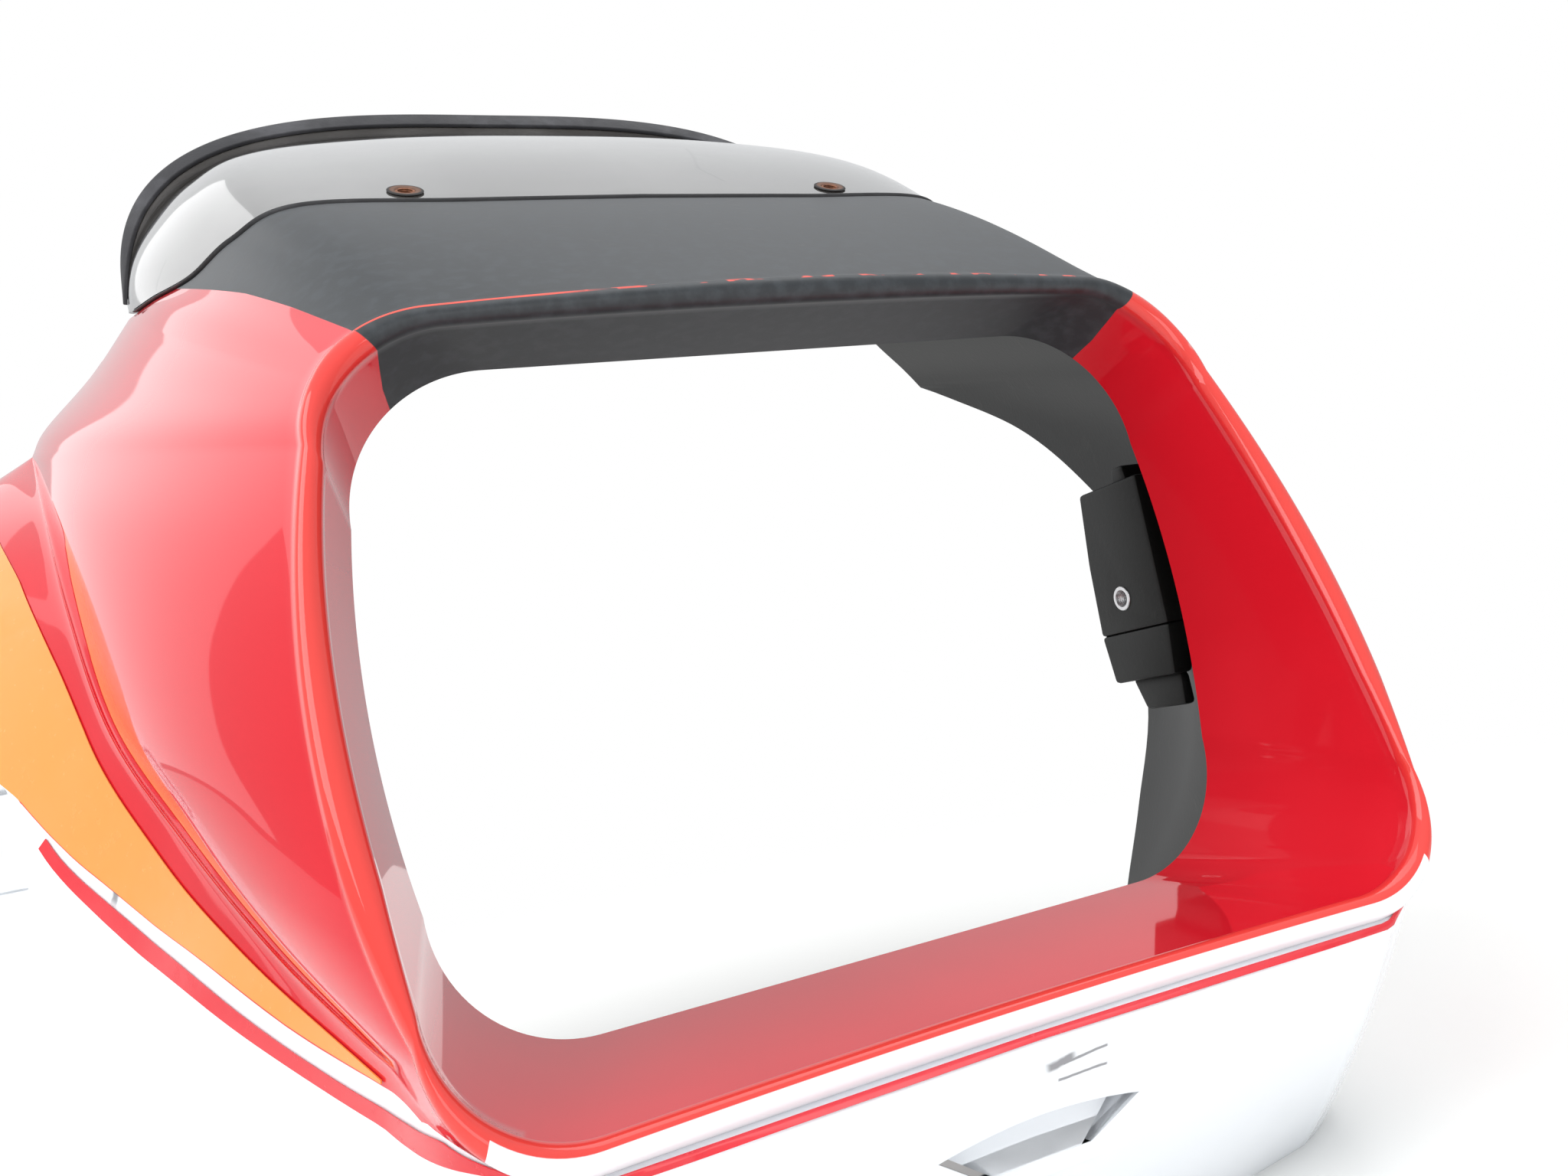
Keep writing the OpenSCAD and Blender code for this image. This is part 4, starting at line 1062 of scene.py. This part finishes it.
def sky():
    world = bpy.data.worlds.new("sky")
    bpy.context.scene.world = world
    world.use_nodes = True
    tree = world.node_tree
    tree.nodes.clear()
    ray = tree.nodes.new("ShaderNodeLightPath")
    coord = tree.nodes.new("ShaderNodeTexCoord")
    part = tree.nodes.new("ShaderNodeSeparateXYZ")
    ramp = tree.nodes.new("ShaderNodeMapRange")
    soft = tree.nodes.new("ShaderNodeBackground")
    white = tree.nodes.new("ShaderNodeBackground")
    pick_one = tree.nodes.new("ShaderNodeMixShader")
    out = tree.nodes.new("ShaderNodeOutputWorld")
    link = tree.links.new
    link(coord.outputs["Generated"], part.inputs[0])
    link(part.outputs[2], ramp.inputs[0])
    for i, x in enumerate((-0.1, 0.8, 0.5, 1.05)):
        ramp.inputs[i + 1].default_value = x
    link(ramp.outputs[0], soft.inputs[1])
    soft.inputs[0].default_value = (0.97, 0.985, 1, 1)
    white.inputs[0].default_value = (1, 1, 1, 1)
    link(ray.outputs["Is Camera Ray"], pick_one.inputs[0])
    link(soft.outputs[0], pick_one.inputs[1])
    link(white.outputs[0], pick_one.inputs[2])
    link(pick_one.outputs[0], out.inputs[0])


def soft_box(name, at, size, power, aim=(0, 0, 0.2)):
    light = bpy.data.lights.new(name, "AREA")
    light.shape, light.size, light.size_y, light.energy = "RECTANGLE", size[0], size[1], power
    lamp = bpy.data.objects.new(name, light)
    bpy.context.scene.collection.objects.link(lamp)
    lamp.location = at
    lamp.rotation_euler = (Vector(aim) - Vector(at)).to_track_quat("-Z", "Y").to_euler()


floor()
sky()
soft_box("window_left", (-1.3, -0.6, 1.2), (1.2, 1.2), 15)
soft_box("window_rear", (-1.25, 1.45, 1.0), (1.4, 1.9), 6)
soft_box("window_front", (-0.3, -1.7, 0.3), (1.6, 0.5), 6)
soft_box("window_top", (0.4, -0.3, 1.9), (1.6, 0.9), 8)

LENS, EYE = 29.88, (-0.136, -0.369, 0.125)
RIGHT, DOWN, AHEAD = (0.90412, -0.38229, -0.19084), (-0.13325, 0.1721, -0.97603), (0.40597, 0.90787, 0.10466)
camera = bpy.data.objects.new("camera", bpy.data.cameras.new("camera"))
bpy.context.scene.collection.objects.link(camera)
bpy.context.scene.camera = camera
camera.data.sensor_width = 36
camera.data.lens = LENS
camera.data.clip_start = 0.01
turned = Matrix((RIGHT, [-x for x in DOWN], [-x for x in AHEAD])).transposed().to_4x4()
camera.matrix_world = Matrix.Translation(EYE) @ turned
bpy.context.scene.view_settings.view_transform = "Standard"
